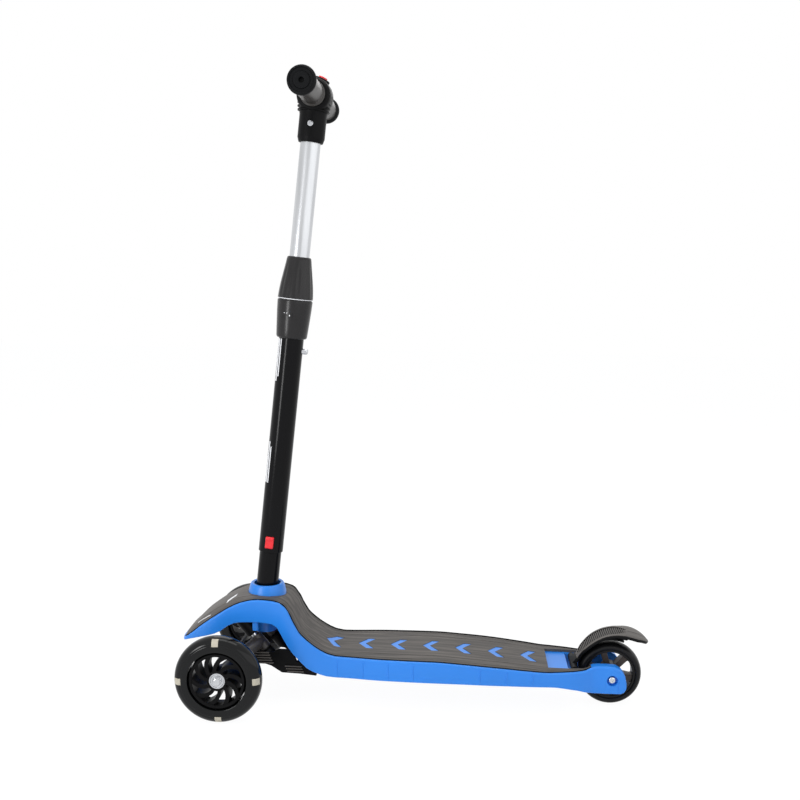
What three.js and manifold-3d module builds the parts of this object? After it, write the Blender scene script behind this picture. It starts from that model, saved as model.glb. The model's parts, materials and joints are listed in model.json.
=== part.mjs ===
// Three wheel kids scooter: lean-to-steer front wheels, T-bar with a twist lock, rear foot brake.
// Millimetres, +X towards the front wheels, +Y to the rider's left, +Z up, floor at z = 0.
import * as THREE from 'three';
import { mergeVertices } from 'three/addons/utils/BufferGeometryUtils.js';
import Module from 'manifold-3d';

const wasm = await Module();
wasm.setup();

// Driving dimensions of the whole scooter
const wheelBase = 540;
const frontTrack = 232;
const frontWheelRadius = 60;
const frontTyreWidth = 26;
const rearWheelRadius = 45;
const rearTyreWidth = 26;
const deckTop = 72;
const deckWidth = 128;
const neckWidth = 92;
const noseWidth = 104;
const forkWidth = 72;
const railHeight = 29.5;
const archTop = 147;
const archDepth = 32;
const noseReach = 72;
const stemRake = THREE.MathUtils.degToRad(5.6);
const stemFootSetback = 43;
const outerTubeLength = 362.7;
const barRise = 278.8;
const barSpan = 232.8;
const gripRadius = 16;

// Clearances, walls and round-shape steps shared by the pieces
const gap = 0.3;
const overrun = 4;
const wall = 3.2;
const weld = 1e-4;
const roundSteps = 20;
const tyreSteps = 32;
const smallSteps = 16;
const boltSteps = 12;

// Lengths that follow from the driving dimensions
const railBottom = deckTop - railHeight;
const archUnder = archTop - archDepth;
const noseTip = wheelBase + noseReach;
const halfFork = forkWidth / 2;
const halfDeck = deckWidth / 2;
const halfNeck = neckWidth / 2;
const halfNose = noseWidth / 2;
const halfTrack = frontTrack / 2;
const halfBar = barSpan / 2;
const halfFrontTyre = frontTyreWidth / 2;
const halfRearTyre = rearTyreWidth / 2;
const stemFoot = new THREE.Vector3(wheelBase - stemFootSetback, 0, archTop);

// Materials
const blue = new THREE.MeshStandardMaterial({ color: 0x3e97f2, roughness: 0.42, metalness: 0 });
const rubberMat = new THREE.MeshStandardMaterial({ color: 0x5d5752, roughness: 0.85, metalness: 0 });
const darkPlastic = new THREE.MeshStandardMaterial({ color: 0x4f4a46, roughness: 0.45, metalness: 0 });
const blackPlastic = new THREE.MeshStandardMaterial({ color: 0x1b1b1d, roughness: 0.5, metalness: 0 });
const greyPlastic = new THREE.MeshStandardMaterial({ color: 0x3a3a3c, roughness: 0.4, metalness: 0 });
const blackPaint = new THREE.MeshStandardMaterial({ color: 0x161617, roughness: 0.3, metalness: 0.1 });
const silver = new THREE.MeshStandardMaterial({ color: 0xc9ccd0, roughness: 0.25, metalness: 0.9 });
const steel = new THREE.MeshStandardMaterial({ color: 0xa9abae, roughness: 0.35, metalness: 0.9 });
const red = new THREE.MeshStandardMaterial({ color: 0xe8323c, roughness: 0.35, metalness: 0 });
const darkTyre = new THREE.MeshStandardMaterial({ color: 0x232325, roughness: 0.15, metalness: 0 });
const lampPlastic = new THREE.MeshStandardMaterial({ color: 0xcfc6b0, roughness: 0.5, metalness: 0 });
const gripRubber = new THREE.MeshStandardMaterial({ color: 0x34342f, roughness: 0.8, metalness: 0 });

// Closed meshes and solids
function signedVolume(position, triangles) {
  const a = new THREE.Vector3();
  const b = new THREE.Vector3();
  const c = new THREE.Vector3();
  let sum = 0;
  for (let i = 0; i < triangles.length; i += 3) {
    a.fromBufferAttribute(position, triangles[i]);
    b.fromBufferAttribute(position, triangles[i + 1]);
    c.fromBufferAttribute(position, triangles[i + 2]);
    sum += a.dot(b.cross(c));
  }
  return sum;
}

function solidOf(geometry) {
  const bare = geometry.clone();
  bare.deleteAttribute('normal');
  bare.deleteAttribute('uv');
  const merged = mergeVertices(bare, weld);
  const index = merged.index.array;
  const kept = [];
  for (let i = 0; i < index.length; i += 3) {
    const [p, q, r] = [index[i], index[i + 1], index[i + 2]];
    if (p !== q && q !== r && r !== p) kept.push(p, q, r);
  }
  if (signedVolume(merged.attributes.position, kept) < 0) kept.reverse();
  const vertProperties = new Float32Array(merged.attributes.position.array);
  const mesh = new wasm.Mesh({ numProp: 3, vertProperties, triVerts: new Uint32Array(kept) });
  return new wasm.Manifold(mesh);
}

function geometryOf(solid) {
  const mesh = solid.getMesh();
  const geometry = new THREE.BufferGeometry();
  geometry.setAttribute('position', new THREE.BufferAttribute(new Float32Array(mesh.vertProperties), 3));
  geometry.setIndex(new THREE.BufferAttribute(new Uint32Array(mesh.triVerts), 1));
  geometry.computeVertexNormals();
  return geometry;
}

function join(...solids) {
  return solids.reduce((sum, solid) => sum.add(solid));
}

function cut(base, ...tools) {
  return tools.reduce((rest, tool) => rest.subtract(tool), base);
}

function moved(solid, matrix) {
  return solid.transform(matrix.elements);
}

function shifted(solid, x, y, z) {
  return moved(solid, new THREE.Matrix4().makeTranslation(x, y, z));
}

function mirrored(solid) {
  return solid.mirror([0, 1, 0]);
}

// A closed profile of [radius, height] points turned about the Z axis
function turned(profile, steps = roundSteps) {
  const points = profile.map(([radius, height]) => new THREE.Vector2(radius, height));
  points.push(points[0].clone());
  return solidOf(new THREE.LatheGeometry(points, steps).rotateX(Math.PI / 2));
}

// The same about the Y axis, with the heights running along +Y
function turnedAcross(profile, steps = roundSteps) {
  const points = profile.map(([radius, across]) => new THREE.Vector2(radius, across));
  points.push(points[0].clone());
  return solidOf(new THREE.LatheGeometry(points, steps));
}

function cylinder(radius, from, to, steps = smallSteps) {
  return turned([[0, from], [radius, from], [radius, to], [0, to]], steps);
}

function cylinderAcross(radius, from, to, steps = smallSteps) {
  return turnedAcross([[0, from], [radius, from], [radius, to], [0, to]], steps);
}

function tube(outer, inner, from, to, steps = roundSteps) {
  return turned([[inner, from], [outer, from], [outer, to], [inner, to]], steps);
}

function block(x0, x1, y0, y1, z0, z1) {
  const box = new THREE.BoxGeometry(x1 - x0, y1 - y0, z1 - z0);
  return solidOf(box.translate((x0 + x1) / 2, (y0 + y1) / 2, (z0 + z1) / 2));
}

// An outline of [x, y] points extruded from one height to another
function plate(outline, from, to) {
  const shape = new THREE.Shape(outline.map(([x, y]) => new THREE.Vector2(x, y)));
  const geometry = new THREE.ExtrudeGeometry(shape, { depth: to - from, bevelEnabled: false });
  return solidOf(geometry.translate(0, 0, from));
}

// An outline of [x, z] points extruded across the scooter, from one y to another
function sidePlate(outline, from, to) {
  const shape = new THREE.Shape(outline.map(([x, z]) => new THREE.Vector2(x, z)));
  const geometry = new THREE.ExtrudeGeometry(shape, { depth: to - from, bevelEnabled: false });
  return solidOf(geometry.rotateX(Math.PI / 2).translate(0, to, 0));
}

// A skin over a row of loops of Vector3 points, closed by a flat face at each end
function skin(loops, flatten) {
  const count = loops[0].length;
  const positions = loops.flat().flatMap((point) => [point.x, point.y, point.z]);
  const index = [];
  for (let i = 0; i < loops.length - 1; i += 1) {
    for (let k = 0; k < count; k += 1) {
      const a = i * count + k;
      const b = i * count + ((k + 1) % count);
      index.push(a, b, b + count, a, b + count, a + count);
    }
  }
  const cap = THREE.ShapeUtils.triangulateShape(loops[0].map(flatten), []);
  const last = THREE.ShapeUtils.triangulateShape(loops[loops.length - 1].map(flatten), []);
  const start = (loops.length - 1) * count;
  const side = THREE.ShapeUtils.isClockWise(loops[0].map(flatten)) ? 1 : -1;
  for (const [p, q, r] of cap) index.push(...(side > 0 ? [p, r, q] : [p, q, r]).reverse());
  for (const [p, q, r] of last) {
    index.push(...(side > 0 ? [p, r, q] : [p, q, r]).map((n) => n + start));
  }
  const geometry = new THREE.BufferGeometry();
  geometry.setAttribute('position', new THREE.Float32BufferAttribute(positions, 3));
  geometry.setIndex(index);
  return solidOf(geometry);
}

// A line through [x, height] points that never overshoots between them
function smoothLine(points) {
  const slopes = [];
  for (let i = 0; i < points.length - 1; i += 1) {
    slopes.push((points[i + 1][1] - points[i][1]) / (points[i + 1][0] - points[i][0]));
  }
  const tangents = points.map((point, i) => {
    if (i === 0) return slopes[0];
    if (i === points.length - 1) return slopes[i - 1];
    if (slopes[i - 1] * slopes[i] <= 0) return 0;
    return 2 / (1 / slopes[i - 1] + 1 / slopes[i]);
  });
  return (x) => {
    let i = points.findIndex((point) => point[0] > x) - 1;
    if (i === -2) i = points.length - 2;
    i = Math.min(Math.max(i, 0), points.length - 2);
    const width = points[i + 1][0] - points[i][0];
    const t = (x - points[i][0]) / width;
    const t2 = t * t;
    const t3 = t2 * t;
    const from = (2 * t3 - 3 * t2 + 1) * points[i][1] + (t3 - 2 * t2 + t) * width * tangents[i];
    const to = (3 * t2 - 2 * t3) * points[i + 1][1] + (t3 - t2) * width * tangents[i + 1];
    return from + to;
  };
}

const mix = THREE.MathUtils.lerp;

// The scooter and the frames that its pieces are placed in
const scooter = new THREE.Group();
const chassis = new THREE.Group();
scooter.add(chassis);

const stem = new THREE.Group();
stem.position.copy(stemFoot);
stem.rotation.y = -stemRake;
chassis.add(stem);

function piece(parent, name, solid, material, position = [0, 0, 0]) {
  const mesh = new THREE.Mesh(geometryOf(solid), material);
  mesh.name = name;
  mesh.position.set(...position);
  parent.add(mesh);
  return mesh;
}

// Outline of the deck and nose, from the fork ends forwards
const slopeFoot = 0.69 * wheelBase;
const noseRun = noseTip - slopeFoot;
const deckRear = 0.1 * wheelBase;
const rearDeckTop = 60.3;
const forkTop = 65.4;
const forkBottom = 25.8;
const forkReach = 19.6;
const noseTopShares = [
  [0.06, 0.003], [0.12, 0.04], [0.178, 0.128], [0.238, 0.26], [0.289, 0.41], [0.324, 0.593],
  [0.349, 0.762], [0.375, 0.883], [0.41, 0.956], [0.477, 0.992], [0.544, 1], [0.632, 0.953],
  [0.703, 0.855], [0.778, 0.707], [0.866, 0.508], [0.962, 0.26], [1, 0.186],
];
const noseUnderShares = [
  [0.05, -0.003], [0.117, 0.005], [0.178, 0.052], [0.238, 0.139], [0.289, 0.295], [0.339, 0.462],
  [0.385, 0.702], [0.42, 0.895], [0.435, 0.959], [0.49, 0.985], [0.546, 0.999], [0.634, 1],
  [0.685, 0.978], [0.724, 0.901], [0.774, 0.79], [0.964, 0.607], [1, 0.538],
];
const neckRun = 0.2 * wheelBase;

const topLine = smoothLine([
  [-forkReach, mix(forkBottom, forkTop, 0.42)],
  [-0.94 * forkReach, mix(forkBottom, forkTop, 0.6)],
  [-0.77 * forkReach, mix(forkBottom, forkTop, 0.78)],
  [-0.4 * forkReach, mix(forkBottom, forkTop, 0.95)],
  [0, forkTop],
  [0.44 * deckRear, forkTop],
  [0.52 * deckRear, mix(rearDeckTop, forkTop, 0.8)],
  [0.62 * deckRear, mix(rearDeckTop, forkTop, 0.3)],
  [0.74 * deckRear, mix(rearDeckTop, forkTop, 0.06)],
  [deckRear, rearDeckTop],
  [0.165 * wheelBase, rearDeckTop],
  [0.22 * wheelBase, mix(rearDeckTop, deckTop, 0.2)],
  [0.3 * wheelBase, mix(rearDeckTop, deckTop, 0.54)],
  [0.39 * wheelBase, mix(rearDeckTop, deckTop, 0.83)],
  [0.47 * wheelBase, deckTop],
  [slopeFoot, deckTop],
  ...noseTopShares.map(([x, z]) => [slopeFoot + x * noseRun, mix(deckTop, archTop, z)]),
]);

const bottomLine = smoothLine([
  [-forkReach, mix(forkBottom, forkTop, 0.2)],
  [-0.84 * forkReach, mix(forkBottom, forkTop, 0.05)],
  [-0.56 * forkReach, forkBottom],
  [0.32 * deckRear, forkBottom],
  [0.57 * deckRear, mix(forkBottom, railBottom, 0.1)],
  [0.95 * deckRear, mix(forkBottom, railBottom, 0.48)],
  [0.165 * wheelBase, mix(forkBottom, railBottom, 0.87)],
  [0.4 * wheelBase, railBottom],
  [slopeFoot, railBottom],
  ...noseUnderShares.map(([x, z]) => [slopeFoot + x * noseRun, mix(railBottom, archUnder, z)]),
]);

const planLine = smoothLine([
  [-forkReach, halfFork],
  [0.037 * wheelBase, halfFork],
  [0.056 * wheelBase, mix(halfFork, halfDeck, 0.11)],
  [0.074 * wheelBase, mix(halfFork, halfDeck, 0.29)],
  [0.111 * wheelBase, mix(halfFork, halfDeck, 0.53)],
  [0.185 * wheelBase, mix(halfFork, halfDeck, 0.79)],
  [0.26 * wheelBase, mix(halfFork, halfDeck, 0.92)],
  [0.35 * wheelBase, halfDeck],
  [0.48 * wheelBase, halfDeck],
  [0.593 * wheelBase, mix(halfNeck, halfDeck, 0.91)],
  [slopeFoot, mix(halfNeck, halfDeck, 0.62)],
  [slopeFoot + 0.25 * neckRun, mix(halfNeck, halfDeck, 0.5)],
  [slopeFoot + 0.62 * neckRun, mix(halfNeck, halfDeck, 0.3)],
  [slopeFoot + 0.81 * neckRun, mix(halfNeck, halfDeck, 0.14)],
  [slopeFoot + neckRun, halfNeck],
  [slopeFoot + 1.16 * neckRun, halfNeck],
  [noseTip - 1.14 * noseReach, mix(halfNeck, halfNose, 0.5)],
  [noseTip - 0.72 * noseReach, halfNose],
  [noseTip - 0.33 * noseReach, mix(halfNeck, halfNose, 0.8)],
  [noseTip - 0.1 * noseReach, halfNeck],
  [noseTip - 0.035 * noseReach, 0.83 * halfNeck],
  [noseTip, 0.58 * halfNeck],
]);

// How much longer a thickness measured straight down is than one square to the top line
function steepness(x) {
  const reach = gap;
  const slope = (topLine(x + reach) - topLine(x - reach)) / (2 * reach);
  return Math.sqrt(1 + slope * slope);
}

// Stations along the scooter, closer together where its lines bend
const stationShares = [
  -0.0363, -0.034, -0.028, -0.0145, 0, 0.044, 0.052, 0.062, 0.074, 0.1, 0.132, 0.165, 0.22, 0.26,
  0.3, 0.35, 0.39, 0.43, 0.47, 0.593, 0.64, 0.69, 0.717, 0.743, 0.769, 0.795, 0.818, 0.833, 0.844,
  0.856, 0.871, 0.884, 0.9, 0.931, 0.952, 0.97, 1.001, 1.034, 1.06, 1.1, 1.117, 1.123,
  1.128, 1.1333,
];
const firstStation = stationShares[0];
const lastStation = stationShares[stationShares.length - 1];

function stationsBetween(from, to) {
  const run = (share) => mix(-forkReach, noseTip, (share - firstStation) / (lastStation - firstStation));
  const inside = stationShares.map(run).filter((x) => x > from + gap && x < to - gap);
  return [from, ...inside, to];
}

function deckSkin(from, to, loopAt) {
  const loops = stationsBetween(from, to).map((x) => {
    return loopAt(x).map(([y, z]) => new THREE.Vector3(x, y, z));
  });
  return skin(loops, (point) => new THREE.Vector2(point.y, point.z));
}

const lip = 3.6;
const seatDepth = 3.2;
const plateThickness = 3;
const railEdge = 1.6;

function seatAt(x) {
  return topLine(x) - seatDepth * steepness(x);
}

function ceilingAt(x) {
  return seatAt(x) - plateThickness * steepness(x);
}

// Rear wheel well between the fork arms
const wellMargin = 16;
const well = {
  front: rearWheelRadius + wellMargin,
  halfWidth: 32,
  waist: 40,
  waistHalfWidth: 26,
  throat: 22,
  throatHalfWidth: 24,
};
const wellOutline = [
  [well.front, -well.halfWidth], [well.front, well.halfWidth],
  [well.front - lip, well.halfWidth], [well.waist, well.waistHalfWidth],
  [well.throat, well.throatHalfWidth], [-forkReach - overrun, well.throatHalfWidth],
  [-forkReach - overrun, -well.throatHalfWidth], [well.throat, -well.throatHalfWidth],
  [well.waist, -well.waistHalfWidth], [well.front - lip, -well.halfWidth],
];

// Kingpins: each front wheel turns about a leaning pin under the nose
const kingpin = {
  setback: 40,
  y: 32,
  rise: 22,
  lean: THREE.MathUtils.degToRad(40),
  radius: 4,
  barrelRadius: 9,
  barrelHalf: 12,
  bossFrom: 16,
  bossTo: 66,
  rubberDepth: 3,
  seatTo: -40,
  pinTop: 34,
  pinBottom: -30,
};
kingpin.x = wheelBase - kingpin.setback;
kingpin.z = frontWheelRadius + kingpin.rise;
const seatFrom = -kingpin.barrelHalf - kingpin.rubberDepth - 2 * gap;
const kingpinPlace = new THREE.Matrix4()
  .makeTranslation(kingpin.x, kingpin.y, kingpin.z)
  .multiply(new THREE.Matrix4().makeRotationY(kingpin.lean));
const stemPlace = new THREE.Matrix4()
  .makeTranslation(stemFoot.x, stemFoot.y, stemFoot.z)
  .multiply(new THREE.Matrix4().makeRotationY(-stemRake));

// Stem tubes, measured along the stem from its foot at the top of the nose
const post = { radius: 15.7, wall: 2, bottom: -57, top: 152, keyHalfWidth: 6.6, keyMargin: 2.5 };
const socket = {
  radius: 20.5,
  bottom: -55,
  top: 2,
  boltDrop: -30,
  boltRadius: 3,
  headRadius: 5,
  headDepth: 3.1,
  nutRadius: 5.5,
  nutDepth: 4.1,
};

// Steering bracket under the nose
const bracket = {
  setback: 27,
  length: 95.6,
  footLength: 28.6,
  cheekInner: 36,
  cheekDepth: 6,
  footLift: 15.2,
  footSink: 4.5,
  floorLift: 3,
  noseLift: 10.5,
  noseShelf: 22,
  shelfDrop: 2.5,
  cheekLift: 11,
  cheekHump: 3.5,
  barLength: 12,
  barHeight: 7,
  screwX: 7,
  screwPitch: 16,
  screwY: 28,
  screwBoss: 5.5,
  screwRadius: 2,
  screwHead: 3.8,
  screwHeadDepth: 2.6,
  screwHeadHeight: 2,
  screwLength: 24,
};
bracket.front = wheelBase - bracket.setback;
bracket.rear = bracket.front - bracket.length;
bracket.footFront = bracket.rear + bracket.footLength;
bracket.cheekOuter = bracket.cheekInner + bracket.cheekDepth;
bracket.footTop = railBottom + bracket.footLift;
bracket.footBottom = railBottom - bracket.footSink;
bracket.floor = bracket.footBottom + bracket.floorLift;
bracket.noseBottom = railBottom + bracket.noseLift;
bracket.cheekTop = frontWheelRadius + bracket.cheekLift;

// Cooling-fin shaped ribs on the cheeks, in a front and a rear group
const fins = { depth: 2, thickness: 1.6, pitch: 3.7, lean: 1.6 };
const finGroups = [
  { inset: 8, length: 26, rise: 1.4, count: 5 },
  { inset: 53.6, length: 24, rise: -10, count: 3 },
];
const screwPlaces = [];
for (const side of [1, -1]) {
  for (const row of [0, 1]) {
    screwPlaces.push([bracket.rear + bracket.screwX + row * bracket.screwPitch, side * bracket.screwY]);
  }
}

// Deck shell: one moulding with skirts, ribs, fork arms, stem socket and kingpin bosses
const shellRibs = {
  thickness: 2.6,
  lift: 1.5,
  pitch: 54,
  from: 0.18 * wheelBase,
  to: 0.76 * wheelBase,
  longTo: 0.66 * wheelBase,
  y: 21,
};
const noseBlock = 24;
const cavity = { rear: 0.14 * wheelBase, front: noseTip - noseBlock };
const axlePocket = { radius: 7.6, depth: 6 };
const rearAxle = { radius: 4, head: 5, headHeight: 4.6, nut: 6.4, nutHeight: 5.2, spacer: 6 };
const coverPeg = { setback: 34, y: 36.5, radius: 4.5, drop: 46 };
const sideRibs = { width: 1.8, height: 0.7, margin: 3 };
const sideRibShares = [0.21, 0.277, 0.345, 0.516, 0.581, 0.646, 0.715];

function deckShell() {
  const outer = deckSkin(-forkReach, noseTip, (x) => {
    const half = planLine(x);
    const top = topLine(x);
    const bottom = bottomLine(x);
    const edge = Math.min(railEdge, (top - bottom) / 3);
    return [
      [-half + edge, bottom], [half - edge, bottom], [half, bottom + edge], [half, top - edge],
      [half - edge, top], [edge - half, top], [-half, top - edge], [-half, bottom + edge],
    ];
  });
  const seat = deckSkin(mat.rear - gap, noseTip - lip, (x) => {
    const half = planLine(x) - lip;
    const top = topLine(x) + overrun;
    return [[-half, seatAt(x)], [half, seatAt(x)], [half, top], [-half, top]];
  });
  const inside = deckSkin(cavity.rear, cavity.front, (x) => {
    const half = planLine(x) - wall;
    const bottom = bottomLine(x) - overrun;
    return [[-half, bottom], [half, bottom], [half, ceilingAt(x)], [-half, ceilingAt(x)]];
  });
  const underSeat = deckSkin(cavity.rear - wall, noseTip - lip, (x) => {
    const half = planLine(x) - wall / 2;
    const top = seatAt(x) - wall / 2;
    return [[-half, -overrun], [half, -overrun], [half, top], [-half, top]];
  });
  const wellCut = plate(wellOutline, -overrun, archTop);
  let shell = cut(outer, seat, inside, wellCut);

  const ribBottom = railBottom + shellRibs.lift;
  const ribs = [];
  for (let x = shellRibs.from; x < shellRibs.to; x += shellRibs.pitch) {
    ribs.push(block(x, x + shellRibs.thickness, -halfDeck, halfDeck, ribBottom, archTop));
  }
  for (const side of [1, -1]) {
    const y = side * shellRibs.y;
    const half = shellRibs.thickness / 2;
    const [low, high] = [y - half, y + half];
    ribs.push(block(cavity.rear - wall, shellRibs.longTo, low, high, ribBottom, archTop));
  }
  const socketBody = moved(cylinder(socket.radius, socket.bottom, socket.top, roundSteps), stemPlace);
  const bosses = [];
  for (const side of [1, -1]) {
    const boss = moved(cylinder(kingpin.barrelRadius, kingpin.bossFrom, kingpin.bossTo), kingpinPlace);
    bosses.push(side > 0 ? boss : mirrored(boss));
    const peg = cylinder(coverPeg.radius, archTop - coverPeg.drop, archTop, boltSteps);
    bosses.push(shifted(peg, wheelBase - coverPeg.setback, side * coverPeg.y, 0));
  }
  for (const [x, y] of screwPlaces) {
    bosses.push(shifted(cylinder(bracket.screwBoss, bracket.footTop + gap, archTop, boltSteps), x, y, 0));
  }
  const inner = join(...ribs, ...bosses, socketBody).intersect(underSeat);
  shell = join(shell, inner);

  for (const share of sideRibShares) {
    const x = share * wheelBase;
    const low = bottomLine(x) + sideRibs.margin;
    const high = topLine(x) - sideRibs.margin;
    for (const side of [1, -1]) {
      const half = planLine(x);
      const reach = sideRibs.width / 2;
      const rib = block(x - reach, x + reach, half - wall / 2, half + sideRibs.height, low, high);
      shell = join(shell, side > 0 ? rib : mirrored(rib));
    }
  }

  const boreTop = archTop + overrun;
  const axleEnd = halfFork + overrun;
  const axleHole = cylinderAcross(rearAxle.radius + gap, -axleEnd, axleEnd);
  const pinBore = cylinderAcross(fenderPin.radius + gap, -fenderPin.half, fenderPin.half);
  const boltEnd = socket.radius + overrun;
  const boltHole = cylinderAcross(socket.boltRadius + gap, -boltEnd, boltEnd, boltSteps);
  const boltPlace = stemPlace.clone().multiply(new THREE.Matrix4().makeTranslation(0, 0, socket.boltDrop));
  const holes = [
    moved(cylinder(post.radius + gap, socket.bottom - overrun, boreTop, roundSteps), stemPlace),
    shifted(axleHole, 0, 0, rearWheelRadius),
    shifted(pinBore, fenderPin.x, 0, fenderPin.z),
    moved(boltHole, boltPlace),
  ];
  for (const side of [1, -1]) {
    const pocketHole = cylinderAcross(axlePocket.radius, halfFork - axlePocket.depth, axleEnd, smallSteps);
    const pocket = shifted(pocketHole, 0, 0, rearWheelRadius);
    const pinHole = moved(cylinder(kingpin.radius + gap, 0, kingpin.pinTop + gap), kingpinPlace);
    holes.push(side > 0 ? pocket : mirrored(pocket), side > 0 ? pinHole : mirrored(pinHole));
  }
  for (const [x, y] of screwPlaces) {
    const top = bracket.footBottom + bracket.screwLength + gap;
    holes.push(shifted(cylinder(bracket.screwRadius + gap, 0, top, boltSteps), x, y, 0));
  }
  return cut(shell, ...holes);
}

// Deck mat and nose cover, laid in the seat of the shell
const mat = {
  rear: 30,
  front: 0.88 * wheelBase,
  crown: 1.2,
  windowFront: wheelBase / 6,
  windowHalfWidth: 36,
  windowRearHalfWidth: 33.5,
  chevrons: 7,
  chevronHalfWidth: 13,
  chevronLength: 12,
  chevronStroke: 8,
  chevronFrom: 0.22 * wheelBase,
  chevronTo: 0.74 * wheelBase,
};

// Crown of the nose cover, from the mat's front to the nose tip
const coverCrown = 6.4;
const coverCrownShares = [
  [0, 0.19], [0.18, 0.3], [0.45, 0.8], [0.66, 1], [0.8, 0.95], [0.92, 0.6], [1, 0.35],
];
const coverCrownLine = smoothLine(coverCrownShares);

function inlay(from, to, crownAt) {
  return deckSkin(from, to, (x) => {
    const half = planLine(x) - lip - 2 * gap;
    const top = topLine(x);
    const bottom = seatAt(x) + gap;
    const raise = crownAt(x) * steepness(x);
    return [
      [-half, bottom], [half, bottom], [half, top], [0.83 * half, top + 0.6 * raise],
      [0.6 * half, top + raise], [-0.6 * half, top + raise], [-0.83 * half, top + 0.6 * raise],
      [-half, top],
    ];
  });
}

function deckMat() {
  const half = mat.windowHalfWidth;
  const rearHalf = mat.windowRearHalfWidth;
  const window = plate([
    [mat.windowFront, -half], [mat.windowFront, half], [well.front, half], [well.waist, rearHalf],
    [mat.rear - overrun, 0.8 * rearHalf], [mat.rear - overrun, -0.8 * rearHalf],
    [well.waist, -rearHalf], [well.front, -half],
  ], -overrun, archTop);
  const chevrons = [];
  for (let i = 0; i < mat.chevrons; i += 1) {
    const x = mix(mat.chevronFrom, mat.chevronTo, i / (mat.chevrons - 1));
    const back = x - mat.chevronLength / 2;
    const front = x + mat.chevronLength / 2;
    chevrons.push(plate([
      [back - mat.chevronStroke, -mat.chevronHalfWidth], [back, -mat.chevronHalfWidth], [front, 0],
      [back, mat.chevronHalfWidth], [back - mat.chevronStroke, mat.chevronHalfWidth],
      [front - mat.chevronStroke, 0],
    ], -overrun, archTop + overrun));
  }
  const sheet = inlay(mat.rear, mat.front - gap, () => mat.crown);
  return cut(sheet, window, collarHole(), ...chevrons);
}

const collar = {
  topRadius: 23.6, baseRadius: 27.2, innerRadius: 18.8, rise: 13.6, drop: 12, lipRadius: 1.6, setback: 1,
};

function collarHole() {
  const hole = cylinder(collar.baseRadius + gap, 0, archTop + overrun * 2, roundSteps);
  return shifted(hole, stemFoot.x - collar.setback, 0, 0);
}

function noseCover() {
  const crownAt = (x) => coverCrown * coverCrownLine((x - mat.front) / (noseTip - mat.front));
  return cut(inlay(mat.front, noseTip - lip - 3 * gap, crownAt), collarHole());
}

function stemCollar() {
  const ring = turned([
    [collar.innerRadius, -collar.drop], [collar.baseRadius, -collar.drop],
    [collar.baseRadius, 0], [collar.topRadius, collar.rise - collar.lipRadius],
    [collar.topRadius - collar.lipRadius, collar.rise], [collar.innerRadius, collar.rise],
  ]);
  const below = deckSkin(mat.rear, noseTip - lip, (x) => {
    const half = planLine(x);
    const top = seatAt(x) + gap;
    return [[-half, 0], [half, 0], [half, top], [-half, top]];
  });
  return cut(shifted(ring, stemFoot.x - collar.setback, 0, archTop), below);
}

// Steering bracket: two finned cheeks, a foot screwed under the deck and the lower kingpin seats
function bracketCheek() {
  const along = (share) => mix(bracket.rear, bracket.front, share);
  return sidePlate([
    [bracket.front, bracket.noseBottom], [bracket.front - bracket.noseShelf, bracket.noseBottom],
    [along(0.68), bracket.noseBottom - bracket.shelfDrop], [along(0.52), bracket.floor],
    [along(0.25), mix(bracket.footBottom, bracket.floor, 0.7)], [bracket.rear, bracket.footBottom],
    [bracket.rear, bracket.footTop], [bracket.footFront, bracket.footTop],
    [along(0.35), bracket.cheekTop], [along(0.42), bracket.cheekTop + bracket.cheekHump],
    [along(0.57), bracket.cheekTop + bracket.cheekHump], [along(0.64), bracket.cheekTop],
    [bracket.front, bracket.cheekTop],
  ], bracket.cheekInner, bracket.cheekOuter);
}

function steeringBracket() {
  const outer = bracket.cheekOuter;
  const solids = [block(bracket.rear, bracket.footFront, -outer, outer, bracket.floor, bracket.footTop)];
  const barTop = bracket.noseBottom + bracket.barHeight;
  const barRear = bracket.front - bracket.barLength;
  solids.push(block(barRear, bracket.front, -outer, outer, bracket.noseBottom, barTop));
  for (const side of [1, -1]) {
    solids.push(side > 0 ? bracketCheek() : mirrored(bracketCheek()));
    const seat = moved(cylinder(kingpin.barrelRadius, kingpin.seatTo, seatFrom), kingpinPlace);
    const floor = block(0, noseTip, 0, halfTrack, 0, bracket.noseBottom);
    const seated = cut(seat, floor);
    solids.push(side > 0 ? seated : mirrored(seated));
    for (const group of finGroups) {
      for (let i = 0; i < group.count; i += 1) {
        const z = bracket.noseBottom + group.rise + i * fins.pitch;
        const to = bracket.front - group.inset + i * fins.lean;
        const near = outer - fins.depth;
        const fin = block(to - group.length, to, near, outer + fins.depth, z, z + fins.thickness);
        solids.push(side > 0 ? fin : mirrored(fin));
      }
    }
  }
  const holes = [];
  for (const side of [1, -1]) {
    const pinHole = moved(cylinder(kingpin.radius + gap, kingpin.pinBottom - gap, 0), kingpinPlace);
    const clear = kingpin.barrelRadius + 4 * gap;
    const round = moved(cylinder(clear, seatFrom, 4 * kingpin.barrelHalf), kingpinPlace);
    holes.push(side > 0 ? pinHole : mirrored(pinHole), side > 0 ? round : mirrored(round));
  }
  const low = bracket.footBottom - overrun;
  const headTop = bracket.floor + bracket.screwHeadDepth;
  for (const [x, y] of screwPlaces) {
    const hole = cylinder(bracket.screwRadius + gap, low, bracket.footTop + overrun, boltSteps);
    const headHole = cylinder(bracket.screwHead + gap, low, headTop, boltSteps);
    holes.push(shifted(hole, x, y, 0), shifted(headHole, x, y, 0));
  }
  return cut(join(...solids), ...holes);
}

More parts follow.
